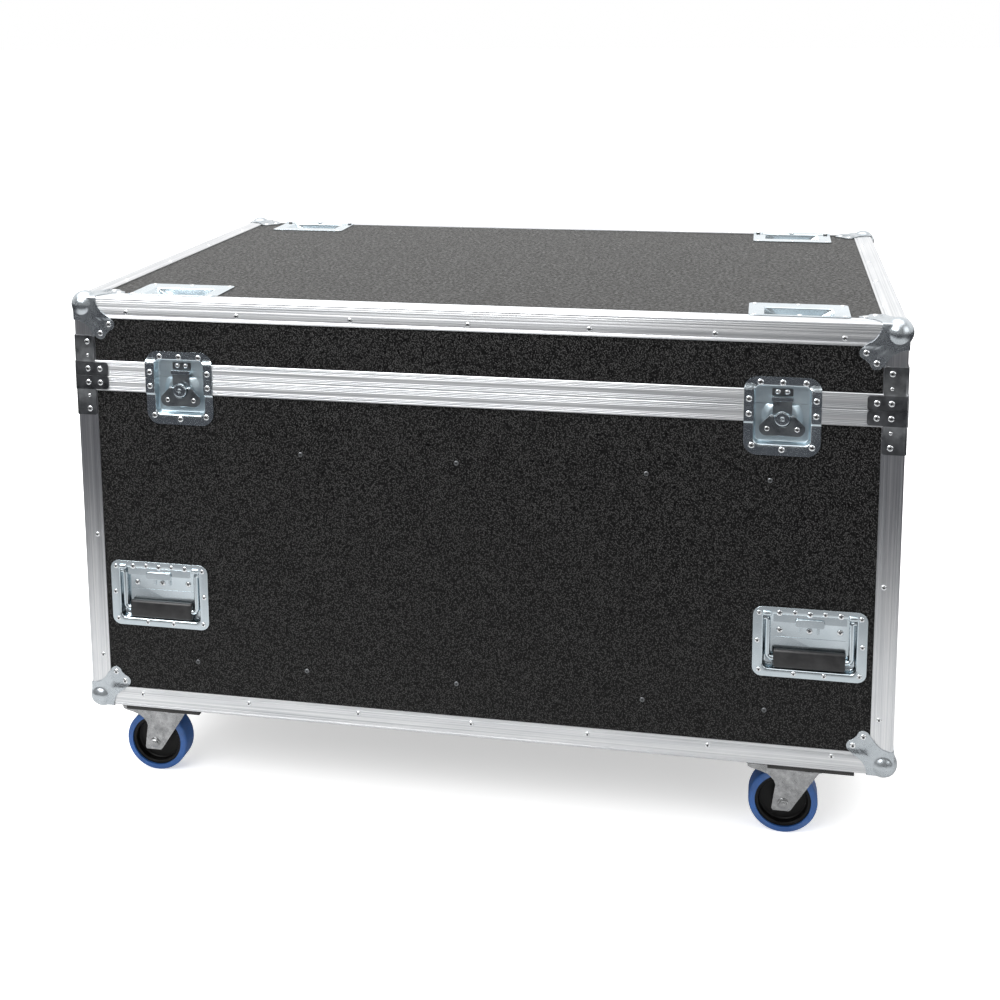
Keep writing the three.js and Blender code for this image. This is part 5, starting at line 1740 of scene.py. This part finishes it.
def aimed(name, kind, power, place, target):
    """A light of a power at a place, in metres, turned to its target."""
    data = bpy.data.lights.new(name, kind)
    data.energy = power
    made = link(name, data)
    made.location = place
    made.rotation_euler = (Vector(target) - Vector(place)).to_track_quat("-Z", "Y").to_euler()
    return made


def lights():
    """Three soft boxes and one wide sun."""
    for name, (place, target, size, power) in (("key", KEY), ("fill", FILL), ("strip", STRIP)):
        made = aimed(name, "AREA", power, place, target)
        made.visible_camera = False
        made.data.shape = "RECTANGLE"
        made.data.size, made.data.size_y = size
    aimed("sky", "SUN", SKY_LIGHT, (0, 0, 0), SKY_TARGET).data.angle = math.radians(SKY_SPREAD)


def studio():
    """White to the camera. To the case it is dimmer in front, near the horizon and overhead."""
    world = bpy.data.worlds.new("studio")
    bpy.context.scene.world = world
    room = Shader(world, "Background")
    axes = room.axes(room.node("TexCoord").outputs["Generated"])
    front = room.span(axes["Y"], -0.5, 0.3, ROOM_FRONT, ROOM_BACK)
    sky = room.span(axes["Z"], 0.01, 0.1, ROOM_HORIZON, 1.0)
    roof = room.span(axes["Z"], 0.6, 0.95, 1.0, ROOM_TOP)
    painted_light_and_height = room.times(front, room.times(sky, roof))
    seen = room.node("LightPath").outputs["Is Camera Ray"]
    strength = room.node("Mix", Factor=seen, A=painted_light_and_height, B=1.0)
    room.put(Color=(1, 1, 1, 1), Strength=strength.outputs[0])
    bpy.context.scene.view_settings.view_transform = "Standard"


def flat_stage(name, reach, z, look):
    mesh = bpy.data.meshes.new(name)
    corners = [(-reach, -reach, z), (reach, -reach, z), (reach, reach, z), (-reach, reach, z)]
    mesh.from_pydata(corners, [], [(0, 1, 2, 3)])
    mesh.materials.append(look)
    made = link(name, mesh)
    return made


def floor_paint():
    """Pale floor paint with a faint cloud."""
    shader = finish("floor_paint")
    clouds = shader.noise(shader.place(), 1.5, 3.0, 0.5)
    shader.put(
        Base_Color=shader.ramp(clouds, (0.3, (0.88, 0.88, 0.88)), (0.7, (0.91, 0.91, 0.91))), Roughness=0.8,
        Emission_Color=(1, 1, 1, 1), Emission_Strength=FLOOR_GLOW,
    )
    return shader.owner


def flag_cloth():
    """Pale near the case and dark further off, as a paper sweep in a dark room."""
    shader = finish("flag_cloth")
    axes = shader.axes(shader.place())
    across = shader.math("SUBTRACT", shader.math("ABSOLUTE", axes["X"]), HALF_LENGTH * MM)
    along = shader.math("SUBTRACT", shader.math("ABSOLUTE", axes["Y"]), HALF_DEPTH * MM)
    share = shader.span(shader.math("MAXIMUM", across, along), FLAG_NEAR, FLAG_FAR, 0.0, 1.0)
    shader.put(Base_Color=shader.mix(share, FLAG_PALE, FLAG_TONE), Roughness=1.0, Specular_IOR_Level=0.0)
    return shader.owner


def stage():
    flat_stage("floor", FLOOR_REACH, 0.0, floor_paint())
    flag = flat_stage("flag", FLAG_REACH, FLAG_HEIGHT, flag_cloth())
    flag.visible_camera = False
    flag.visible_diffuse = False
    flag.visible_shadow = False


camera()
studio()
lights()
stage()
dress_nodes()
edge_frames()
closures()
ball_corners()
latches()
handles()
castor_cups()
castors()
frame_rivets()
panel_rivets()
corner_rivets()
brace_rivets()
